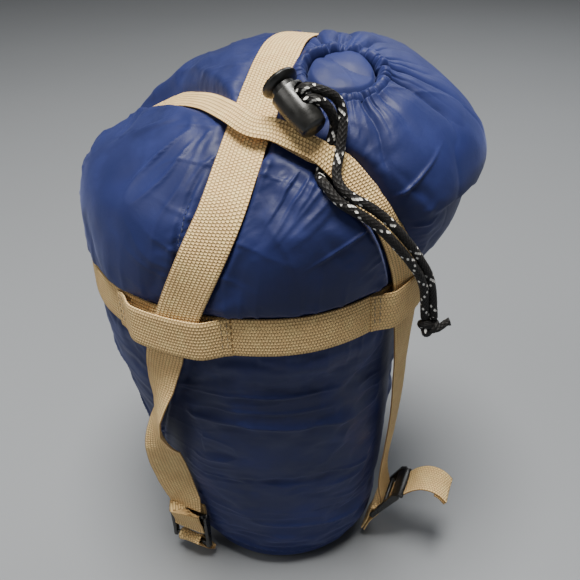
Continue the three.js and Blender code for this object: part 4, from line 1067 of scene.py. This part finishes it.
# strap A's front leg, round the buckle's middle bar, with its short tail
tail_rows = [[29.9, 4.9], [27, 5.6], [22, 4.7], [17, 3.0]] + arcp(BAR_MID, 0, TURN, 1.1, 5.2, 7) + [[17, -2.7], [22, -2.9], [27, -2.6], [31, -2.0]]
pt, nt = planar(FL, tail_rows)
pl, nl, _, _ = strap_line(STRAP_A, 0.35, KA)
# the slack leg lies in against the sack and turns its face forward towards the buckle
pl = pl + np.array([1.0, 0, 0]) * np.interp(pl[:, 2], [46, 58, 78, 104, 124, 146, 163, 181, 192], [0, 3.6, 5.2, 6.2, 6.2, 6.4, 6.0, 3.4, 0])[:, None]
na_ = np.radians(np.interp(pl[:, 2], [46, 58, 74, 90, 104, 118, 130, 142, 152, 165, 181], [-114.8, -104, -93, -92, -103, -138, -164, -164, -150, -134, -119.6]))
nw = smooth01(pl[:, 2], 46, 54) * (1 - smooth01(pl[:, 2], 150, 180))
nl = unit(nl * (1 - nw[:, None]) + np.stack([np.cos(na_), np.sin(na_), 0 * na_], 1) * nw[:, None])
P, N = np.vstack([pt[::-1][:-1], pl]), np.vstack([nt[::-1][:-1], nl])
ol, info_la = webbing("strap_a_leg", P, N, wave=0.1)
ol.data.materials.append(WEB)
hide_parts("strap_a_tail")
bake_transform(ol)
# strap B: back, over the top, crossing and folded part, down to the ring
pb, nb, db, wb = strap_line(STRAP_B, 0, KB + 0.4)
ob_, info_b = webbing("strap_b_main", pb, nb, wb)
done(ob_, WEB, "sack", ["strap_b"])
turn_rows = [[28.5, -14.5], [23, -11.4], [17, -7.0], [13.6, -3.9]] + arcp(BAR_MID, 0, TURN, -1.9, -math.pi * 2 + 1.1, 7) + [[16.5, 2.7], [20, 3.1]]
pt, nt = planar(RT, turn_rows, -1.0)
pl, nl, _, _ = strap_line(STRAP_B, KB - 0.3, 28.75)
P, N = np.vstack([pl, pt[3:]]), np.vstack([nl, nt[3:]])
ol, info_lb = webbing("strap_b_leg", P, N, wave=0.2)
ol.data.materials.append(WEB)
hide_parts("strap_b_turn")
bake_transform(ol)
tail = [[16.5, 2.7], [20.4, 3.15], [26, 3.9], [33, 5.2], [39, 8.2], [42.6, 13], [43.6, 18.5], [42.4, 24]]
pt, nt = planar(RT, tail, -1.0)
ol, info_tb = webbing("strap_b_tail_piece", pt, nt, wave=0.3, curl=0.5)
ol.data.materials.append(WEB)
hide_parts("strap_b_tail")
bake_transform(ol)
# tail end: folded back on itself
pt2, nt2 = planar(RT, [[43.2, 15.8], [43.6, 19], [42.3, 24.3]], -1.0)
P2 = pt2 - nt2 * 1.35
of_, _ = webbing("tail_hem", P2, nt2, wave=0.15)
done(of_, WEB, "tail_right")

# ring band, closed
php = np.linspace(0, 2 * math.pi, 360, endpoint=False)
pr, nr = ring_line(php)
orb, info_r = webbing("ring_band", pr, nr, closed=True, wave=0.08)
done(orb, WEB, "ring", ["compression_ring_band"])


def keeper(name, node, phic, half, rise, sewn_left=True):
    f = np.linspace(-1, 1, 60)
    p, n = ring_line(phic + f * half)
    lift = 1.55 + (rise - 1.55) * smooth01(1 - np.abs(f), 0.10, 0.46)
    lift = np.convolve(np.pad(lift, 3, mode="edge"), np.ones(7) / 7, "valid")
    lift = np.minimum(lift, 0.45 + 1.1 * np.minimum(1, np.maximum(0, 1 - np.abs(f)) / 0.12) + 99 * ((np.abs(f) < 0.86) | ((f < 0) & (not sewn_left))))
    P = p + n * lift[:, None]
    o, info = webbing(name, P, n, wave=0.1)
    done(o, WEB, "ring", [node])
    Pn, T, W, Nn, u = info
    runs = []
    for e in (0, 1):
        for off in (2.0, 4.6):
            i = np.argmin(np.abs(u - (off if e == 0 else u[-1] - off)))
            x = np.linspace(-8.6, 8.6, 30)[:, None]
            runs.append((Pn[i] + W[i] * x + Nn[i] * (WEB_T / 2), np.repeat(Nn[i][None], 30, 0)))
    stitches(name + "_stitching", runs, THREAD, body="ring")


azof = lambda x, y: math.atan2(y, x)
keeper("keeper_front_left", "ring_keeper_front_left", azof(-43.7, -77.0) - 0.06, 0.35, 6.9, False)
keeper("keeper_back_right", "ring_keeper_back_right", azof(54.6, 64.3), 0.225, 5.1)
keeper("keeper_left_rear", "ring_keeper_left_rear", azof(-98.6, 19.2), 0.205, 5.2)
keeper("keeper_right", "ring_keeper_right", azof(62.2, -53.4), 0.28, 6.0)


# anchor tabs
def tab(name, node, f, seam, seam_n, mid, width):
    seam, seam_n, mid = (np.array(v, float) for v in (seam, seam_n, mid))
    r = TURN
    up = unit(f[0] - mid)
    out = unit(seam_n - up * (seam_n @ up))
    pts = [seam + seam_n * 0.95, mid - out * 0.85]
    for i in range(7):
        a = -0.5 * math.pi - 0.25 + (math.pi + 0.5) * i / 6
        pts.append(f[0] + up * (r + 0.1) * math.cos(a) + out * (r + 0.1) * math.sin(a))
    pts += [mid + out * 0.85, seam + seam_n * 2.75]
    P = catmull(np.array(pts), np.linspace(0, len(pts) - 1, 90))
    N = unit(np.cross(f[1][None], np.gradient(P, axis=0)))
    o, info = webbing(name, P, N, width=width, wave=0.0)
    done(o, WEB, "sack", [node])


tab("anchor_tab_r", "anchor_tab_right", RT, [54.0, -22.2, 8.5], [0.86, -0.36, -0.36], [58.6, -24.0, 17.5], 20)
tab("anchor_tab_fl", "anchor_tab_front_left", FL, [-45.2, -37.8, 6.6], [-0.3, -0.65, -0.7], [-50.4, -42.0, 8.6], 15)

# seam stitching down the front left, between base and ring, and above it to the shoulder
zc = np.linspace(16, 186, 260)
runs = []
Gz, Ga = G[..., 2], np.arctan2(G[..., 1], G[..., 0])
row_of = lambda z: np.abs(G[:, int(NP * 0.61), 2][20:] - z).argmin() + 20
for z0, z1 in ((30, 186), (222, 262)):
    P, Nn = [], []
    for z in np.arange(z0, z1, 1.0):
        i = row_of(z)
        sa = np.interp(z, SEAM_Z, SEAM_A) + 0.9 / 80
        j = np.abs(np.angle(np.exp(1j * (Ga[i] - sa)))).argmin()
        P.append(G[i, j])
        Nn.append(N_[i, j])
    runs.append((np.array(P), np.array(Nn)))
stitches("side_seam_stitching", runs, THREAD_B, thick=0.45, length=2.2, gap=0.8)

# ------------------------------------------------- moulded pieces from the CAD
for node in ("ladder_lock_front_left", "ladder_lock_right", "cord_lock_barrel", "cord_lock_plunger"):
    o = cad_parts[node]
    o.data.materials.clear()
    o.data.materials.append(ACETAL)
    wd = o.modifiers.new("weld", "WELD")
    wd.merge_threshold = 1e-6
    bv = o.modifiers.new("bevel", "BEVEL")
    bv.width, bv.segments, bv.limit_method, bv.angle_limit = 0.00045, 3, "ANGLE", math.radians(38)
    bv.harden_normals = False
    o.data.polygons.foreach_set("use_smooth", np.ones(len(o.data.polygons), bool))
for node, mat, sl in (("cord_lock_spring", STEEL, "spring_steel"),):
    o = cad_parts[node]
    o.data.materials.clear()
    o.data.materials.append(mat)
    wd = o.modifiers.new("weld", "WELD")
    wd.merge_threshold = 1e-6
    sb = o.modifiers.new("sub", "SUBSURF")
    sb.levels = sb.render_levels = 1

# ---------------------------------------------------------------- the studio
flo = bpy.data.meshes.new("floor")
flo.from_pydata([(-6, -6, 0), (6, -6, 0), (6, 6, 0), (-6, 6, 0)], [], [(0, 1, 2, 3)])
floor = bpy.data.objects.new("floor", flo)
bpy.context.scene.collection.objects.link(floor)
fm = Nodes("floor_grey")
fco = fm.n("ShaderNodeTexCoord").outputs["Object"]
fm.link(fm.mix(fm.noise(1.5, 3, 0.5, fco), lin((128, 131, 135)), lin((138, 141, 145))), fm.bsdf.inputs["Base Color"])
fm.set(Roughness=0.85, Specular_IOR_Level=0.2)
floor.data.materials.append(fm.mat)


def area(name, loc_, target, size, power, colour=(1, 1, 1)):
    d = bpy.data.lights.new(name, "AREA")
    d.shape, d.size, d.energy, d.color = "DISK", size, power, colour
    o = bpy.data.objects.new(name, d)
    bpy.context.scene.collection.objects.link(o)
    o.location = loc_
    o.rotation_mode = "QUATERNION"
    o.rotation_quaternion = (Vector(target) - Vector(loc_)).to_track_quat("-Z", "Y")
    return o


area("key", (-0.05, -0.22, 1.55), (0, 0, 0.2), 0.62, 48.0, (1.0, 0.975, 0.92))
area("side", (-1.0, -0.5, 1.0), (0, 0, 0.2), 0.8, 4.2, (1.0, 0.97, 0.93))
area("fill", (1.0, -1.2, 0.55), (0, 0, 0.15), 1.2, 1.0, (0.93, 0.96, 1.0))
area("back", (0.5, 1.0, 1.2), (0, 0, 0.25), 0.9, 7.0, (0.96, 0.98, 1.0))
world = bpy.data.worlds.new("world")
bpy.context.scene.world = world
world.use_nodes = True
world.node_tree.nodes["Background"].inputs[0].default_value = (0.62, 0.64, 0.68, 1)
world.node_tree.nodes["Background"].inputs[1].default_value = 0.12
